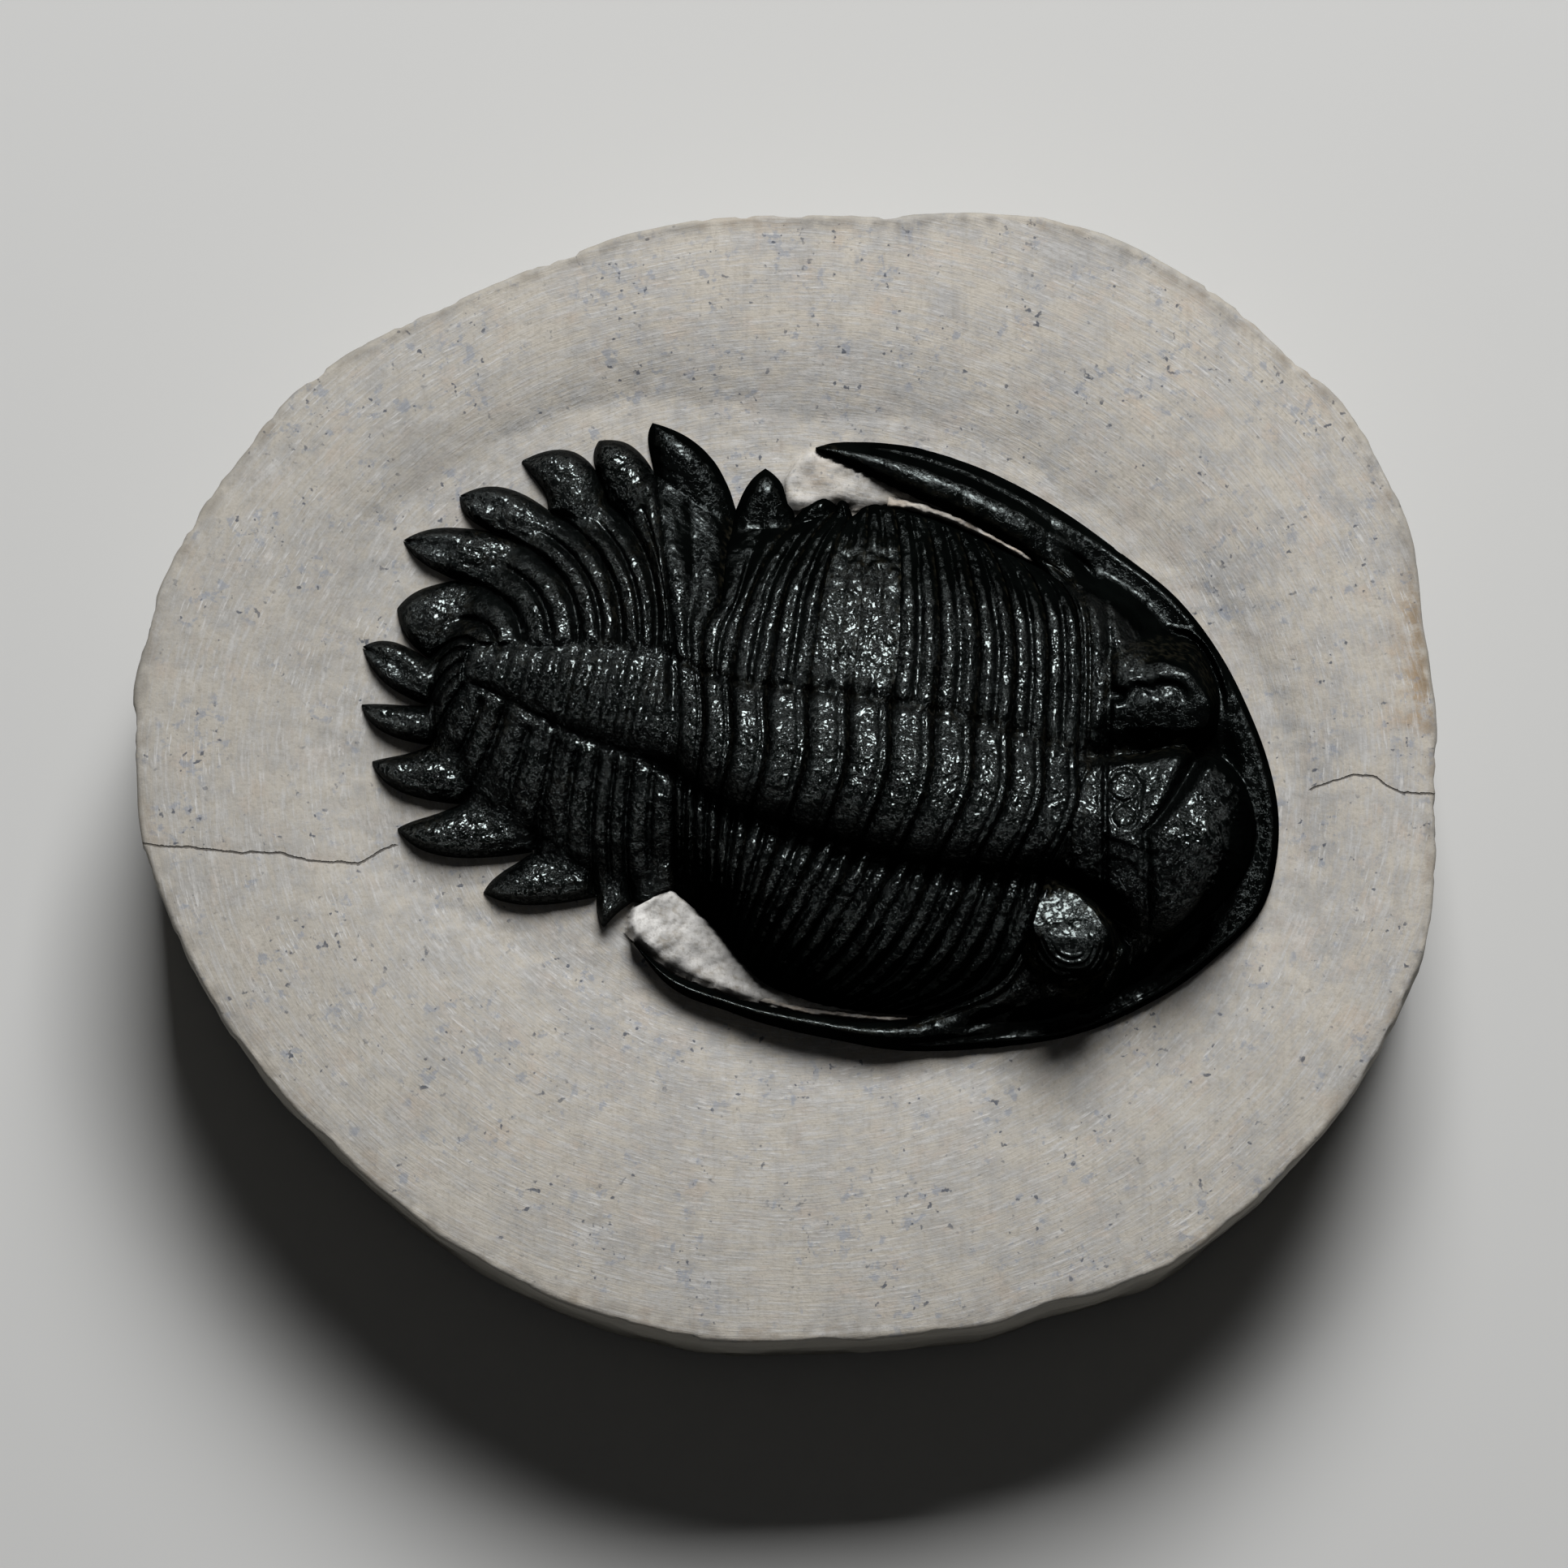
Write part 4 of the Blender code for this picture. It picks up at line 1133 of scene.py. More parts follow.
@dataclass(frozen=True)
class Segment:
    """One plate of the thorax, an arched band from tip to tip with a ring and two double ribs.

    Args:
        number: Its place, 1 behind the head to 11 before the tail.
        blade: The free spine that its left end runs out into, if it has one.
    """

    number: int
    blade: Blade | None = None
    stations: int = 380
    steps: int = 30
    blade_rows: int = 44
    tuck: float = 0.16
    rubbed_plates: tuple[int, int] = (6, 7)
    rub: float = 0.75
    # Heights and depths of its relief
    node: float = 0.22
    gutter: float = 0.35
    wrinkle: float = 0.05
    crumple: float = 0.03
    stripe: float = 0.07
    blister: float = 0.09
    droop: float = 0.9
    blade_fall: float = 1.1
    # Ridges from front edge to back edge: on the ring, and on the ribs beside it
    ring: Sequence[Pair] = (
        (-0.2, -0.9), (0.0, -0.62), (0.05, -0.34), (0.12, 0.05), (0.2, 0.16), (0.26, 0.06), (0.34, 0.26),
        (0.6, 0.36), (0.88, 0.28), (1.0, 0.0),
    )
    rib: Sequence[Pair] = (
        (-0.2, -0.6), (0.0, -0.42), (0.07, -0.12), (0.2, 0.16), (0.36, 0.1), (0.46, -0.16), (0.5, -0.24),
        (0.55, -0.14), (0.68, 0.2), (0.85, 0.22), (0.95, 0.05), (1.0, -0.15),
    )

    def build(self, material: Material) -> None:
        """Makes the plate's mesh and puts it in the scene.

        Args:
            material: The shell's finish.
        """
        v = np.linspace(-1, 1, self.stations)
        s = np.linspace(-self.tuck, 1, self.steps)
        ribs = np.clip(self.number - 1 + s, 0, None)
        flat = THORAX.place(ribs, v)
        relief, dust = self._relief(v, s, flat[..., 0], flat[..., 1])
        grid = np.dstack([flat, THORAX.height(ribs, v) + relief])
        worn = np.zeros(dust.shape)
        if self.blade:
            crown = dome(np.linspace(0, 1, self.steps))
            grid[..., 2] -= self.blade_fall * step(v, -0.82, -1.0)[:, None] * (1 - crown[None])
            spine, shade = self._spine(grid)
            grid = np.concatenate([spine, grid])
            dust = np.concatenate([np.zeros(shade.shape), dust])
            worn = np.concatenate([shade, worn])
        grid[..., 2] += BED
        rows, columns = grid.shape[:2]
        calm = np.concatenate([np.ones(rows - len(v)), step(np.abs(v), 0.48, 0.75)])
        fields = {"dust": dust, "worn": worn, "calm": np.repeat(calm, columns)}
        piece = Piece(f"segment_{self.number:02d}_shell", f"thoracic_segment_{self.number:02d}", Slot.SHELL)
        piece.stand(grid.reshape(-1, 3), sheet(rows, columns), fields, material)

    def _relief(self, v: Array, s: Array, x: Array, y: Array) -> tuple[Array, Array]:
        """Ridges, furrows and wrinkles over the plate's arch.

        Args:
            v: Stations across the animal.
            s: Steps from front to back.
            x: Plan places by station and step.
            y: Plan places by station and step.

        Returns:
            Height over the arch, and how much dust lies there.
        """
        out, axis = np.abs(v)[:, None], THORAX.on_axis(v)[:, None]
        rub = self.rub if self.number in self.rubbed_plates else 0.0
        rubbed = rub * step(v, -0.85, -0.75)[:, None] * step(v, -0.28, -0.34)[:, None]
        rib = along(self.rib, s)[None] * (1 - 0.55 * step(out, 0.72, 0.98)) * (1 - rubbed)
        relief = axis * along(self.ring, s)[None] + (1 - axis) * rib
        relief = relief + self.node * hump(out, THORAX.furrow + 0.035, 0.022) * hump(s[None], 0.6, 0.3)
        joints = 0.3 + hump(s[None], 0.0, 0.2) + hump(s[None], 1.0, 0.2)
        relief = relief - self.gutter * hump(out, THORAX.furrow - 0.005, 0.016) * joints
        relief = relief + self.wrinkle * Grain(20, 0.36, 3).at(x, y)
        relief = relief + self.crumple * np.abs(Grain(19, 0.5, 2).at(x, y)) ** 0.5
        stripes = Grain(21 + self.number, 0.13, 2).at(np.broadcast_to(s, x.shape), v[:, None] * 1.6)
        relief = relief + self.stripe * stripes * (1 - axis)
        relief = relief + self.blister * rubbed * Grain(18, 0.5, 3).at(x, y)
        relief = relief - (0.0 if self.blade else self.droop) * step(out, 0.965, 1.0) ** 2
        dust = 0.7 * hump(s[None], 0.0, 0.07) + 0.5 * hump(out, THORAX.furrow, 0.02) + 0.3 * rubbed
        return relief, np.broadcast_to(dust, x.shape)

    def _spine(self, grid: Array) -> tuple[Array, Array]:
        """The blade that the plate's left end runs out into.

        Args:
            grid: The plate's points by station and step.

        Returns:
            Points from the tip down to the plate, and how worn each is.
        """
        rows = np.linspace(1, 0, self.blade_rows, endpoint=False)
        share = np.linspace(0, 1, self.steps)
        flat = self.blade.spread(grid[0, 0, :2], grid[0, -1, :2], rows, share).swapaxes(0, 1)
        t, crown = rows[:, None], dome(share)[None]
        blend = step(t, -0.15, 0.6) / step(np.array(1.0), -0.15, 0.6)
        height = grid[0, :, 2][None] * (1 - blend) + blend * (0.4 + (2.0 - 1.4 * t**4) * crown)
        height = height + self.wrinkle * Grain(20, 0.36, 3).at(flat[..., 0], flat[..., 1]) * step(t, 0, 0.1)
        return np.dstack([flat, height]), self.blade.worn * crown * step(t, 0.2, 0.5)


# The tail


@dataclass(frozen=True)
class Pygidium:
    """The tail shield: a ringed axis, ribs that fan from it, and a spine for each rib."""

    piece: Piece = Piece("tail_shield", "pygidium", Slot.SHELL)
    per_spine: int = 30
    axis_rows: int = 20
    rib_rows: int = 62
    spine_rows: int = 46
    # Share of the way back along the axis, and plan place of its crest or half its width
    axis: Sequence = ((0.0, (-6.85, 4.4)), (0.5, (-13.4, 5.9)), (0.8, (-17.2, 6.9)), (1.0, (-19.65, 7.5)))
    half_width: Sequence[Pair] = ((0.0, 3.4), (0.5, 2.5), (0.8, 1.6), (1.0, 1.1))
    # Ribs counted from the front, and where on the axis each starts
    roots: Sequence[Pair] = (
        (0.0, 0.0), (1.0, 0.14), (2.0, 0.3), (3.0, 0.5), (4.0, 0.76), (4.6, 0.9), (6.0, 0.9),
    )
    fan: float = 1.4
    # Share of the way back, and height of the crest or depth of the furrow beside it
    crest: Sequence[Pair] = ((0.0, 8.4), (0.5, 7.2), (0.8, 6.0), (1.0, 4.9))
    furrow_depth: Sequence[Pair] = ((0.0, 1.9), (0.5, 1.5), (1.0, 0.7))
    rings: int = 13
    margin: float = 1.9
    # Share of the way to the margin, and share of the drop that is left
    fall: Sequence[Pair] = ((0.0, 1.0), (0.25, 0.85), (0.5, 0.6), (0.75, 0.24), (1.0, 0.0))
    spine_edge: float = 0.7
    spine_crown: float = 2.5
    notches: Sequence[Pair] = (
        (-8.35, 19.1), (-10.9, 17.25), (-14.65, 16.85), (-18.05, 15.45), (-20.3, 12.5), (-22.05, 7.65),
        (-22.1, 4.8), (-21.9, 2.35), (-20.05, -1.3), (-15.55, -4.25), (-11.65, -7.0), (-9.4, -7.3),
        (-7.1, -6.7),
    )
    spines: Sequence[Blade] = (
        Blade((-11.5, 21.1), (-9.25, 21.25), (-12.1, 19.85)),
        Blade((-16.3, 19.85), (-12.0, 21.75), (-14.6, 18.45), 0.25),
        Blade((-20.1, 17.7), (-17.4, 18.95), (-19.7, 16.15), 0.9),
        Blade((-23.6, 14.95), (-21.15, 16.1), (-22.15, 13.25), 1.0),
        Blade((-23.95, 10.75), (-22.65, 12.1), (-23.5, 8.8), 0.3),
        Blade((-26.1, 8.4), (-24.05, 9.1), (-24.9, 5.7), 1.0),
        Blade((-26.15, 4.85), (-24.15, 4.7), (-25.25, 2.7), 0.5),
        Blade((-25.5, 1.35), (-23.6, 1.45), (-24.55, -0.95), 0.2),
        Blade((-23.95, -2.8), (-22.3, -2.35), (-22.05, -5.35)),
        Blade((-18.65, -6.75), (-17.5, -5.5), (-16.15, -8.0)),
        Blade((-11.2, -8.9), (-11.7, -8.15), (-10.8, -8.2)),
        Blade((-8.3, -7.5), (-8.9, -7.45), (-7.8, -7.4)),
    )
    # Ridges across one rib, from notch to notch
    rib: Sequence[Pair] = (
        (0.0, -0.5), (0.08, -0.12), (0.25, 0.2), (0.42, 0.12), (0.5, -0.22), (0.58, 0.12), (0.75, 0.24),
        (0.92, -0.05), (1.0, -0.5),
    )
    # Heights and depths of its fine relief
    ring_height: float = 0.15
    wrinkle: float = 0.07
    streak: float = 0.07
    swelling: float = 0.12
    hollow: float = 0.55
    spine_grain: float = 0.045

    def build(self, material: Material) -> None:
        """Makes the shield's mesh and puts it in the scene.

        Args:
            material: The shell's finish.
        """
        columns = self.per_spine * len(self.spines)
        half = columns // 2
        body = np.array([self._column(c, columns, half) for c in range(columns + 1)])
        self._meet_thorax(body)
        # Both sides share the crest's vertices, which come first
        outer = np.arange(body[:, 1:, 0].size).reshape(columns + 1, -1)
        crest = np.minimum(np.arange(columns + 1), columns - np.arange(columns + 1))
        index = np.concatenate([crest[:, None], half + 1 + outer], axis=1)
        total = half + 1 + outer.size
        points = [body[: half + 1, 0], body[:, 1:].reshape(-1, 3)]
        faces, worn = [quads(index)], [np.zeros(total)]
        for number, spine in enumerate(self.spines):
            span = slice(number * self.per_spine, (number + 1) * self.per_spine + 1)
            grid, shade = self._spine(spine, body[span, -1])
            numbers = total + np.arange(shade.size).reshape(shade.shape)
            faces.append(quads(np.concatenate([index[span, -1][:, None], numbers], axis=1)))
            points.append(grid.reshape(-1, 3))
            worn.append(shade.ravel())
            total += shade.size
        seen = np.concatenate(points) + (0, 0, BED)
        dust = 0.35 * step(Grain(31, 2.0, 3).at(seen[:, 0], seen[:, 1]), 0.1, 0.8)
        self.piece.stand(seen, np.concatenate(faces), {"dust": dust, "worn": np.concatenate(worn)}, material)

    def _column(self, c: int, columns: int, half: int) -> Array:
        """One column, from the crest over the furrow and along a rib to the margin.

        Args:
            c: Its number, counted round the shield from its left front corner.
            columns: The last column's number.
            half: The number of the column behind the axis.

        Returns:
            Plan points with heights above the bed.
        """
        from_front = min(c, columns - c)
        side = 1 if c <= half else -1
        root = along(self.roots, from_front / self.per_spine)
        axis = along(self.axis, root)
        way = along(self.axis, max(root - 0.02, 0)) - along(self.axis, min(root + 0.02, 1))
        way /= np.linalg.norm(way)
        out = side * np.array([-way[1], way[0]])
        last = self.fan * self.per_spine
        turned = np.clip((from_front - half + last) / last, 0, 1)
        spine = min(c // self.per_spine, len(self.spines) - 1)
        part = c / self.per_spine - spine
        margin = np.array(self.notches[spine]) * (1 - part) + np.array(self.notches[spine + 1]) * part
        quarter = turned * math.pi / 2
        behind = (along(self.axis, 1.0) - along(self.axis, 0.9)) / 1.3
        out = out * math.cos(quarter) + behind * math.sin(quarter)
        out /= np.linalg.norm(out)
        width = along(self.half_width, root)
        furrow = axis + out * width
        reach = np.linalg.norm(margin - furrow)
        crest, depth = along(self.crest, root), along(self.furrow_depth, root)
        depth *= 1 - 0.4 * (1 - turned) if side > 0 else 1.0
        across = np.linspace(0, 1, self.axis_rows + 1)
        lobe = axis + (furrow - axis) * across[:, None]
        rings = np.cos(2 * math.pi * root * self.rings) * (1 - across**4) * step(np.array(root), 0.98, 0.8)
        lobe_height = crest - depth * across**2.6 + self.ring_height * rings
        t = np.linspace(0, 1, self.rib_rows + 1)[1:]
        control = furrow + out * reach * (0.5 - 0.2 * turned) + (margin - furrow) * 0.15
        pleura = bend(furrow, control, margin, t)
        slope = self.margin + (crest - depth - self.margin) * along(self.fall, t)
        strength = (1.8 if side > 0 else 1.0) * (1 - 0.6 * turned)
        strength = strength * step(t, 0.0, 0.12) * (1 - 0.6 * step(t, 0.6, 0.95))
        ends = step(t, 0.7, 1.0)
        edge_height = self.spine_edge + (self.spine_crown - self.spine_edge) * dome(part)
        pleura_height = (slope + along(self.rib, part) * strength) * (1 - ends) + edge_height * ends
        pleura_height += 0.3 * hump(t, 0.06, 0.04) * (part * (1 - part) * 4)
        flat = np.concatenate([lobe, pleura])
        height = np.concatenate([lobe_height, pleura_height])
        height += self.wrinkle * Grain(33, 0.4, 3).at(flat[:, 0], flat[:, 1])
        streaks = Grain(37, 0.09, 2).at(c / self.per_spine, t * 0.5) * step(t, 0, 0.1) * (1 - turned)
        height[self.axis_rows + 1:] += self.streak * streaks
        swelling = Grain(36, 1.3, 3).at(flat[:, 0], flat[:, 1]) * step(np.arange(len(height)), 4, 30)
        return np.column_stack([flat, height + self.swelling * swelling])

    def _meet_thorax(self, body: Array) -> None:
        """Draws the front edge under the last segment, and eases the columns behind it after it.

        Args:
            body: The shield's points by column and row, which it moves.
        """
        rows = body.shape[1]
        lobe = np.linspace(0, THORAX.furrow, self.axis_rows + 1)
        stations = np.concatenate([lobe, np.linspace(THORAX.furrow, 1, self.rib_rows + 1)[1:]])
        ease = 1 - step(np.arange(self.per_spine), 0, self.per_spine * 0.9)
        for side, line in ((-1, 0), (1, len(body) - 1)):
            wanted = THORAX.place(np.array([THORAX.count]), side * stations)[:, 0] + (0.12, 0.0)
            level = along(THORAX.profile, side * stations) * THORAX.arch[-1][1] - 0.25
            shift = np.column_stack([wanted, level]) - body[line]
            for offset, share in enumerate(ease):
                column = line + offset if side < 0 else line - offset
                fall = step(np.arange(rows), rows, rows - 4) if offset else 1.0
                body[column] += shift * share * np.reshape(fall, (-1, 1)) if offset else shift

    def _spine(self, blade: Blade, base: Array) -> tuple[Array, Array]:
        """One spine from its base on the margin.

        Args:
            blade: Its tip and edges.
            base: The margin points that it starts from.

        Returns:
            Its points by place across and row along, and how worn each is.
        """
        t = np.linspace(0, 0.985, self.spine_rows + 1)[1:]
        q = np.linspace(0, 1, self.per_spine + 1)
        flat = blade.spread(base[0, :2], base[-1, :2], t, q)
        low = self.spine_edge - 0.4 * t[None]
        high = self.spine_crown - (self.spine_crown - 0.8) * t[None] ** 4
        blend = step(t, 0, 0.3)[None]
        height = base[:, 2][:, None] * (1 - blend) + (low + (high - low) * dome(q)[:, None]) * blend
        hollow = blade.worn * step(t, 0.15, 0.4)[None] * hump(q[:, None], 0.5, 0.2)
        height = height - self.hollow * hollow
        height = height + self.spine_grain * Grain(35, 0.5, 3).at(flat[..., 0], flat[..., 1])
        return np.dstack([flat, height]), blade.worn * step(t, 0.1, 0.4)[None] * hump(q[:, None], 0.5, 0.28)


# The head


@dataclass(frozen=True)
class Eye:
    """One eye: a lid on top, a steep lens face outside it, and folds of the cheek beside that face.

    Args:
        middle: Its plan middle.
        lid: Angle in degrees from +X, and distance to the lid's edge.
        face: Angle, and width of the lens face on the plan.
        level: Height of the lid.
        outside: +1 where the lens face looks to +Y, -1 where it looks to -Y.
        crown: Way outwards from the middle, and height over the level.
        section: Distance beyond the lid's edge, and height over the level, for the front half of the lid.
        folds: Ends, half width and height of each fold.
        ripples: Height of the fine rings on the front of the lid.
    """

    middle: Pair
    lid: Sequence[Pair]
    face: Sequence[Pair]
    level: float
    outside: int
    crown: Sequence[Pair]
    section: Sequence[Pair]
    folds: Sequence[tuple[Pair, Pair, float, float]] = ()
    ripples: float = 0.0

    def raise_over(self, x: Array, y: Array, ground: Array) -> tuple[Array, Array]:
        """Puts the eye on the cheek.

        Args:
            x: Plan places.
            y: Plan places.
            ground: Height of the cheek there.

        Returns:
            The height with the eye, and where its lens face is.
        """
        dx, dy = x - self.middle[0], (y - self.middle[1]) * self.outside
        dy = dy + 0.12 * Grain(41, 1.1, 2).at(x, y)
        angle = np.degrees(np.arctan2(dy, dx)) * self.outside
        beyond = np.hypot(dx, dy) - along(self.lid, angle)
        width = along(self.face, angle)
        front = step(dy, -0.3, 1.6)
        top = self.level + along(self.crown, dy) * (1 - front) + along(self.section, beyond) * front
        rings = np.cos(2 * math.pi * (beyond / 0.42 + 0.01 * angle))
        top = top + self.ripples * rings * front * step(beyond, -1.7, -1.2)
        share = np.clip(beyond / width, 0, 1)
        foot = 1 - share**1.15
        raised = ground + np.maximum(top - ground, 0) * foot
        side = step(np.abs(angle), 95, 60) * front
        moat, rim = hump(beyond, width + 0.15, 0.2), hump(beyond, width + 0.55, 0.14)
        raised = raised - 0.3 * moat * side + 0.25 * rim * side
        for start, end, half, level in self.folds:
            way = np.subtract(end, start)
            t = np.clip(((x - start[0]) * way[0] + (y - start[1]) * way[1]) / (way @ way), 0, 1)
            off = np.hypot(x - start[0] - t * way[0], y - start[1] - t * way[1])
            raised = np.maximum(raised, level - 1.3 * t - 1.6 * (off / half) ** 2)
        return raised, step(share, 0.1, 0.3) * step(share, 1.0, 0.85) * front


def turned_axes(x: Array, y: Array, middle: Pair, degrees: float) -> tuple[Array, Array]:
    """Measures places along a turned axis.

    Args:
        x: Plan places.
        y: Plan places.
        middle: Where the axis starts.
        degrees: How far it is turned from +X.

    Returns:
        Distance along the axis, and to its left.
    """
    turn = math.radians(degrees)
    dx, dy = x - middle[0], y - middle[1]
    return dx * math.cos(turn) + dy * math.sin(turn), dy * math.cos(turn) - dx * math.sin(turn)


@dataclass(frozen=True)
class Glabella:
    """The raised middle of the head, in its own axis from the nape forward."""

    nape: Pair = (17.3, -2.1)
    turn: float = -9.0
    # Distance forward, half width on the left and on the right, height of the crest
    shape: Sequence = (
        (-1.0, 3.6, 3.7, 9.9), (0.8, 3.65, 4.3, 10.1), (2.4, 4.0, 5.0, 10.1), (3.7, 4.3, 5.4, 10.2),
        (6.3, 5.2, 6.1, 10.4), (7.6, 5.15, 5.9, 10.2), (8.8, 4.85, 5.1, 9.8), (9.8, 4.2, 4.1, 9.2),
        (10.6, 3.3, 2.9, 8.2), (11.2, 2.2, 1.8, 6.6), (11.6, 1.2, 0.9, 4.6), (11.8, 0.6, 0.4, 3.2),
    )
    # Share of the half width, negative on the right, and height over the crest
    section: Sequence[Pair] = (
        (-1.0, -4.6), (-0.92, -3.6), (-0.75, -2.3), (-0.5, -1.2), (-0.25, -0.45), (-0.08, -0.05), (0.0, 0.0),
        (0.1, -0.05), (0.3, -0.4), (0.6, -0.95), (0.82, -1.35), (0.93, -1.75), (1.0, -2.4),
    )
    # Ring-shaped furrows on the nape: middle forward and left, radius, width and depth of each
    arcs: Sequence[tuple[float, float, float, float, float]] = (
        (3.2, 2.45, 0.95, 0.15, 0.26), (3.5, 0.6, 0.75, 0.14, 0.18), (3.6, -3.4, 1.3, 0.2, 0.12),
    )
    granules: int = 1300
    granule_height: float = 0.12
    granule_width: float = 0.11

    def axes(self, x: Array, y: Array) -> tuple[Array, Array, Array, Array]:
        """Places in its axis.

        Args:
            x: Plan places.
            y: Plan places.

        Returns:
            Distance forward, distance to the left, distance outside its edge and height of its crest.
        """
        forward, left = turned_axes(x, y, self.nape, self.turn)
        _, on_left, on_right, crest = through([g[0] for g in self.shape], self.shape, forward).T
        half = np.where(left > 0, on_left.T, on_right.T)
        return forward, left, np.abs(left) - half, crest.T

    def furrow(self, forward: Array, outside: Array) -> Array:
        """Depth of the furrow that runs along both its sides."""
        ends = step(forward, -0.6, 1.2) * step(forward, 10.6, 8.6)
        return ends * (1.5 * step(outside, 2.7, 0.2) + 0.35 * hump(outside, 0.25, 0.5))

    def raise_over(self, x: Array, y: Array, ground: Array) -> tuple[Array, Array]:
        """Puts the glabella over the cheeks.

        Args:
            x: Plan places.
            y: Plan places.
            ground: Height of the cheeks there.

        Returns:
            The height with the glabella, and where it is.
        """
        forward, left, outside, crest = self.axes(x, y)
        half = np.abs(left) - outside
        spread = step(forward, 11.6, 9.0)
        top = crest + along(self.section, left / half) * (0.35 + 0.65 * spread)
        across = np.abs(left)
        cross = forward - 4.95 - np.where(left > 0, 0.78 * across**0.72, 0.18 * across)
        lobe = step(cross, 0.05, 1.1)
        reach = np.clip(left, 0, 5)
        lines = (0.35 + 0.45 * np.clip(left + 0.5, 0, 5)) * hump(cross, 0.0, 0.26 + 0.06 * reach)
        occipital = forward - 2.42 + 0.155 * left
        lines = lines + 0.55 * hump(occipital, 0.0, 0.15) - 0.15 * hump(occipital, -0.35, 0.16)
        lines = lines + 0.3 * hump(forward - 0.06 * left**2, 0.25, 0.14)
        for ahead, aside, radius, wide, deep in self.arcs:
            lines = lines + deep * hump(np.hypot(forward - ahead, left - aside), radius, wide)
        lines = lines + 0.26 * hump(forward, 4.33, 0.13) * step(left, 0.2, 0.8) * step(left, 3.3, 2.6)
        ridge = hump(left + 0.35 + 0.2 * forward, 0.3, 0.2) * step(forward, 2.0, 2.6) * (1 - lobe)
        top = top - lines + 0.14 * ridge + 0.3 * lobe + self._granules(x, y) * (0.35 + 0.9 * lobe)
        on = step(outside, 0.3, -0.12) * step(forward, 11.8, 11.0)
        return ground * (1 - on) + np.maximum(top, ground) * on, on

    def _granules(self, x: Array, y: Array) -> Array:
        """Small round tubercles strewn over it.

        Args:
            x: Plan places.
            y: Plan places.

        Returns:
            Their height.
        """
        rng, count = np.random.default_rng(47), self.granules
        total = np.zeros_like(x)
        places = zip(rng.uniform(17, 30, count), rng.uniform(-10, 4, count), rng.uniform(0.6, 1.2, count))
        for cx, cy, size in places:
            near = (np.abs(x - cx) < 0.4) & (np.abs(y - cy) < 0.4)
            off = np.hypot(x[near] - cx, y[near] - cy)
            height = self.granule_height * size * hump(off, 0, self.granule_width * size)
            total[near] = np.maximum(total[near], height)
        return total


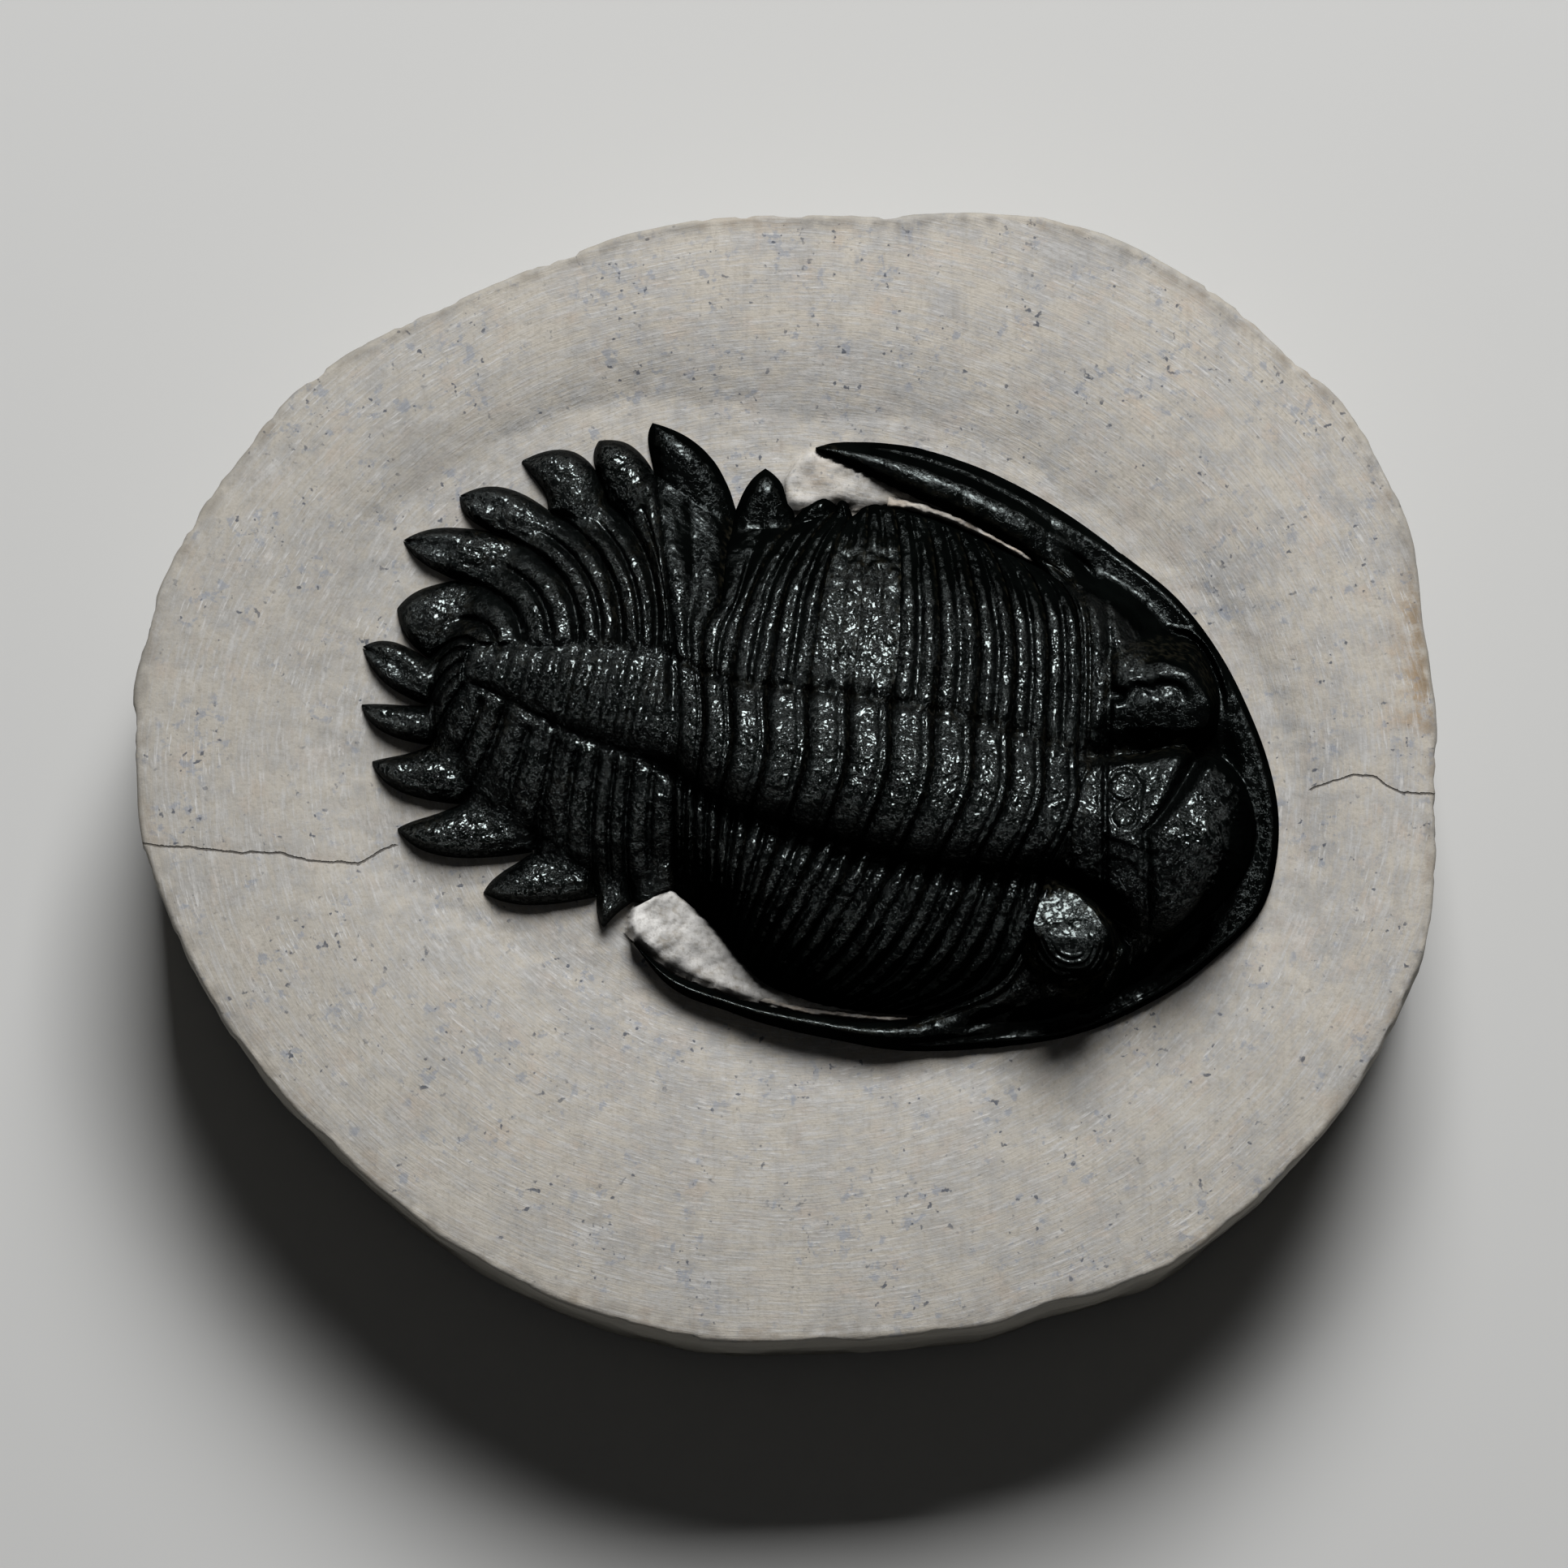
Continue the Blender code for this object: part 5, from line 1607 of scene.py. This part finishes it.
@dataclass(frozen=True)
class Cephalon:
    """The head shield, from genal tip to genal tip, with its glabella, eyes, brim and spines."""

    piece: Piece = Piece("head_shield", "cephalon", Slot.SHELL)
    rows: int = 148
    columns: int = 640
    # Station, and plan place, of the outer edge and of the inner edges of both genal spines
    outer: Sequence = (
        (-1.6, (1.85, 20.7)), (-1.52, (3.1, 21.05)), (-1.4, (6.6, 21.0)), (-1.2, (11.6, 19.65)),
        (-1.0, (16.6, 17.05)), (-0.8, (20.85, 14.05)), (-0.6, (24.35, 11.15)), (-0.42, (26.95, 7.65)),
        (-0.27, (28.6, 4.35)), (-0.13, (29.75, 1.25)), (0.0, (30.35, -1.75)), (0.13, (30.25, -4.75)),
        (0.27, (29.4, -7.65)), (0.45, (26.6, -10.65)), (0.65, (22.6, -13.45)), (0.85, (16.6, -15.85)),
        (1.0, (9.1, -16.55)), (1.2, (2.6, -15.75)), (1.4, (-3.4, -14.15)), (1.52, (-7.4, -12.35)),
        (1.6, (-9.6, -9.6)),
    )
    left_blade: Sequence = (
        (-1.6, (1.9, 20.55)), (-1.52, (3.1, 20.0)), (-1.4, (5.85, 18.7)), (-1.2, (10.6, 16.6)),
        (-1.1, (13.1, 15.25)), (-1.03, (14.9, 14.1)), (-1.0, (15.6, 13.3)),
    )
    right_blade: Sequence = (
        (1.0, (8.2, -14.35)), (1.03, (7.5, -14.55)), (1.1, (5.2, -14.75)), (1.2, (2.1, -14.35)),
        (1.4, (-3.65, -13.05)), (1.52, (-7.3, -11.55)), (1.6, (-9.5, -9.75)),
    )
    # Station, and height above the bed, at the outer edge and at the inner edges
    outer_height: Sequence[Pair] = (
        (-1.6, 0.7), (-1.2, 1.0), (-0.6, 2.0), (0.0, 2.2), (0.6, 1.7), (1.2, 1.0), (1.6, 0.8),
    )
    blade_inner: Sequence[Pair] = (
        (-1.6, 1.0), (-1.4, 2.3), (-1.2, 2.9), (-1.08, 2.9), (-1.0, 2.3), (1.0, 1.7), (1.08, 2.2),
        (1.2, 2.3), (1.6, 1.0),
    )
    brim: float = 2.0
    least: float = 1.3
    glabella: Glabella = Glabella()
    # Distance from the outer edge, and height over it
    margin: Sequence[Pair] = (
        (0.0, -1.2), (0.1, -0.6), (0.25, -0.15), (0.45, 0.08), (0.62, 0.11), (0.9, 0.02), (1.4, -0.06),
        (1.9, -0.06), (2.3, 0.1), (2.9, 0.5), (3.6, 1.0),
    )
    eyes: Sequence[Eye] = (
        Eye(
            middle=(23.1, 4.4),
            lid=(
                (-180, 3.2), (-120, 2.6), (-60, 2.6), (-10, 3.0), (11, 3.06), (28, 2.95), (48, 3.08),
                (67, 3.05), (83, 2.92), (105, 2.74), (122, 2.94), (132, 3.25), (147, 3.29), (160, 3.25),
                (180, 3.2),
            ),
            face=(
                (-180, 0.8), (-60, 0.9), (11, 0.6), (28, 0.85), (48, 1.15), (67, 1.6), (90, 1.9),
                (122, 1.8), (140, 1.3), (160, 0.9), (180, 0.8),
            ),
            level=8.6,
            outside=1,
            crown=((-2.6, -2.7), (-1.7, -1.55), (-0.9, -0.75), (-0.1, -0.25), (0.8, -0.08), (1.5, -0.3)),
            section=(
                (-2.9, -0.15), (-2.1, -0.1), (-1.65, -0.3), (-1.35, -0.42), (-1.1, -0.26), (-0.85, -0.02),
                (-0.6, 0.08), (-0.3, 0.0), (0.0, -0.25),
            ),
        ),
        Eye(
            middle=(17.65, -9.0),
            lid=(
                (-180, 2.3), (-139, 2.45), (-112, 2.8), (-94, 2.9), (-70, 2.97), (-42, 2.69), (-23, 2.5),
                (0, 2.05), (45, 1.75), (85, 2.2), (112, 2.8), (140, 3.0), (180, 2.3),
            ),
            face=(
                (-180, 0.8), (-120, 1.4), (-90, 1.7), (-50, 1.3), (-20, 0.9), (20, 0.7), (90, 0.6),
                (180, 0.8),
            ),
            level=9.1,
            outside=-1,
            crown=((-2.8, -1.2), (-1.8, -0.72), (-1.0, -0.42), (-0.2, -0.2), (0.6, -0.03), (1.4, 0.05)),
            section=((-3.0, -0.05), (-1.8, -0.05), (-1.1, -0.15), (-0.5, -0.55), (0.0, -1.3)),
            folds=(
                ((15.75, -10.5), (16.5, -12.9), 0.75, 7.4), ((20.7, -10.3), (19.7, -12.4), 0.5, 6.9),
                ((19.4, -12.9), (17.9, -13.4), 0.45, 5.4),
            ),
            ripples=0.07,
        ),
    )
    # Pits and dents: plan middle, radius, depth
    pits: Sequence[tuple[Pair, float, float]] = (
        ((20.55, 5.4), 0.5, 0.9), ((18.2, 11.8), 0.5, 0.5), ((13.2, 12.7), 0.7, 0.3),
        ((21.0, 8.9), 1.0, 0.5),
    )
    # Where the right eye interrupts the band along the thorax: middle and radius
    band_gap: tuple[float, float, float] = (17.65, -9.3, 3.0)
    wrinkle: float = 0.05
    swelling: float = 0.14
    # Size of the lens rows, along and across, and their height
    lens_rows: tuple[float, float, float] = (0.34, 0.3, 0.06)

    def build(self, material: Material) -> None:
        """Makes the shield's mesh and puts it in the scene.

        Args:
            material: The shell's finish.
        """
        stations = self._stations()
        middle = np.abs(stations) <= 1
        edge_out = along(self.outer, stations)
        edge_in = np.zeros_like(edge_out)
        edge_in[stations < -1] = along(self.left_blade, stations[stations < -1])
        edge_in[stations > 1] = along(self.right_blade, stations[stations > 1])
        edge_in[middle] = THORAX.place(np.array([0.0]), stations[middle])[:, 0]
        u = np.linspace(0, 1, self.rows)[:, None]
        flat = edge_in[None] * (1 - u[..., None]) + edge_out[None] * u[..., None]
        x, y = flat[..., 0], flat[..., 1]
        width = np.linalg.norm(edge_out - edge_in, axis=1)[None]
        profile = along(THORAX.profile, stations) * THORAX.arch[0][1]
        back = np.where(middle, profile, along(self.blade_inner, stations))[None]
        front = along(self.outer_height, stations)[None]
        height, dust = self._shield(x, y, u, width, back, front)
        blade = step(np.abs(stations), 0.8, 1.04)[None]
        height = height * (1 - blade) + self._blade(u, width, back, front) * blade
        edge = width * (1 - u)
        calm = np.maximum(step(edge, 4.4, 2.8), blade)
        for eye in self.eyes:
            calm = np.maximum(calm, 0.7 * step(np.hypot(x - eye.middle[0], y - eye.middle[1]), 4.0, 3.2))
        rough = self.wrinkle * Grain(43, 0.4, 3).at(x, y)
        rough = rough + self.swelling * Grain(44, 1.3, 3).at(x, y) * step(u, 0.0, 0.05)
        height = np.maximum(height + rough * (1 - 0.6 * calm), self.least * step(edge, 0.0, 0.4))
        seen = np.dstack([flat, BED + height]).reshape(-1, 3)
        fields = {"dust": dust, "worn": np.zeros_like(height), "calm": calm}
        self.piece.stand(seen, sheet(*height.shape), fields, material)

    def _stations(self) -> Array:
        """Spreads the columns, closest together over the head proper.

        Returns:
            Their stations.
        """
        few, many = self.columns // 6, self.columns * 2 // 3
        left, right = np.linspace(-1.6, -1, few, endpoint=False), np.linspace(1, 1.6, few)
        return np.concatenate([left, np.linspace(-1, 1, many, endpoint=False), right])

    def _blade(self, u: Array, width: Array, back: Array, front: Array) -> Array:
        """Genal spines: a rounded ridge along the inner side, a furrow, and a rim outside.

        Args:
            u: Share of the way from the inner edge to the outer edge.
            width: Width of the shield at each column.
            back: Height at the inner edge.
            front: Height at the outer edge.

        Returns:
            Height above the bed.
        """
        ridge = front + (back - front) * (1 - u**1.5) + 1.2 * np.sin(math.pi * np.clip(u, 0, 1)) ** 0.8
        return ridge - 0.35 * hump(u, 0.72, 0.1) * step(width, 1.0, 2.6) - 0.5 * hump(u, 1.0, 0.1)

    def _shield(
        self, x: Array, y: Array, u: Array, width: Array, back: Array, front: Array
    ) -> tuple[Array, Array]:
        """Height above the bed over the head proper.

        Args:
            x: Plan places.
            y: Plan places.
            u: Share of the way from the inner edge to the outer edge.
            width: Width of the shield at each column.
            back: Height at the inner edge.
            front: Height at the outer edge.

        Returns:
            The height, and how much dust lies there.
        """
        edge, inward = width * (1 - u), width * u
        cheek = front + (back - front - 0.5) * (1 - u**2) * step(edge, self.brim * 0.8, self.brim * 2.6)
        cheek += along(self.margin, edge)
        forward, _, outside, _ = self.glabella.axes(x, y)
        ground = cheek - self.glabella.furrow(forward, outside)
        lens = np.zeros_like(x)
        for eye in self.eyes:
            ground, face = eye.raise_over(x, y, ground)
            lens = np.maximum(lens, face)
        for middle, radius, depth in self.pits:
            ground = ground - depth * hump(np.hypot(x - middle[0], y - middle[1]), 0, radius)
        ground = np.maximum(ground, 0.45 * front)
        height, on = self.glabella.raise_over(x, y, ground)
        band = 0.2 * hump(inward, 0.25, 0.14) + 0.2 * hump(inward, 1.0, 0.25)
        band = band - 0.25 * hump(inward, 0.52, 0.09) - 0.45 * hump(inward, 1.75, 0.3)
        gap_x, gap_y, radius = self.band_gap
        height += band * (1 - on) * (1 - step(np.hypot(x - gap_x, y - gap_y), radius, radius - 0.4))
        long, wide, high = self.lens_rows
        height += lens * high * np.cos(x * 2 * math.pi / long) * np.cos(y * 2 * math.pi / wide)
        dust = 0.5 * hump(inward, 0.55, 0.2) + 0.4 * lens
        dust = dust + 0.6 * hump(outside, 0.4, 0.4) * step(forward, 9, 7)
        return height, np.clip(dust, 0, 1)


# Light, floor and camera


@dataclass(frozen=True)
class Studio:
    """A pale floor, one large soft light from the top of the picture, a weak fill, and the photo's camera."""

    floor_size: float = 3.0
    floor_drop: float = 0.0002
    floor_colour: Colour = (0.60, 0.60, 0.59)
    floor_clouds: Cloud = Cloud(60.0)
    sky: float = 0.02
    key_power: float = 10.5
    key_size: float = 0.4
    key_place: tuple[float, float, float] = (0.1, 0.62, 0.66)
    fill_power: float = 0.06
    fill_size: float = 0.7
    fill_place: tuple[float, float, float] = (-0.6, -0.35, 0.7)

    def build(self) -> None:
        """Makes the floor, the lights and the camera."""
        self._floor()
        self._light("key_light", self.key_place, self.key_power, self.key_size)
        self._light("fill_light", self.fill_place, self.fill_power, self.fill_size)
        world = bpy.data.worlds.new("soft_sky")
        world.use_nodes = True
        background = world.node_tree.nodes["Background"]
        background.inputs["Color"].default_value = (1, 1, 1, 1)
        background.inputs["Strength"].default_value = self.sky
        bpy.context.scene.world = world
        bpy.context.scene.view_settings.view_transform = "Standard"
        self._camera()

    def _floor(self) -> None:
        """A plain pale floor under the slab."""
        bpy.ops.mesh.primitive_plane_add(size=self.floor_size, location=(0, 0, -self.floor_drop))
        floor = bpy.context.object
        floor.name = "pale_floor"
        g = Graph("pale_floor")
        darker = tuple(c * 0.97 for c in self.floor_colour)
        tone = g.mix(g.noise(g.place(), self.floor_clouds), self.floor_colour, darker)
        floor.data.materials.append(g.finish({"Base Color": tone}, {"Roughness": 0.9}))

    def _light(self, name: str, place: tuple[float, float, float], power: float, size: float) -> None:
        """A square soft light that faces the fossil.

        Args:
            name: Its name.
            place: Its place in metres.
            power: Its power in watts.
            size: Its side in metres.
        """
        data = bpy.data.lights.new(name, "AREA")
        data.energy = power
        data.size = size
        lamp = bpy.data.objects.new(name, data)
        bpy.context.scene.collection.objects.link(lamp)
        self._aim(lamp, np.array(place), np.array((0, 0, BED * MM)))

    def _camera(self) -> None:
        """The photo's camera, over the slab and leaning to its right side."""
        data = bpy.data.cameras.new("camera")
        data.sensor_width = SIGHT.sensor
        data.lens = SIGHT.sensor * SIGHT.distance / SIGHT.width
        camera = bpy.data.objects.new("camera", data)
        bpy.context.scene.collection.objects.link(camera)
        plane = np.array([-SIGHT.middle[0], -SIGHT.middle[1], SIGHT.plane])
        target = (SIGHT.on_plane(np.array(SIGHT.shift)) + plane) * MM
        self._aim(camera, target + SIGHT.eye() * MM, target)
        bpy.context.scene.camera = camera

    @staticmethod
    def _aim(thing: bpy.types.Object, place: Array, target: Array) -> None:
        """Puts a light or camera at a place and turns it to a target, with +Y up in its view.

        Args:
            thing: The light or camera.
            place: Its place in metres.
            target: The point that it faces.
        """
        back = (place - target) / np.linalg.norm(place - target)
        right = np.cross((0.0, 1.0, 0.0), back)
        right /= np.linalg.norm(right)
        up = np.cross(back, right)
        matrix = np.eye(4)
        matrix[:3, 0], matrix[:3, 1], matrix[:3, 2], matrix[:3, 3] = right, up, back, place
        thing.matrix_world = Matrix(matrix.tolist())


def main() -> None:
    """Builds the slab, the fossil and the studio."""
    logging.basicConfig(level=logging.INFO, format="%(name)s: %(message)s")
    shell, stone = ShellFinish().material(), StoneFinish().material()
    MatrixSlab().build(stone)
    for seam in ROCK_SEAMS:
        seam.build(stone)
    Cephalon().build(shell)
    for number in range(1, THORAX.count + 1):
        Segment(number, SEGMENT_BLADES.get(number)).build(shell)
    Pygidium().build(shell)
    Studio().build()


if __name__ == "__main__":
    main()
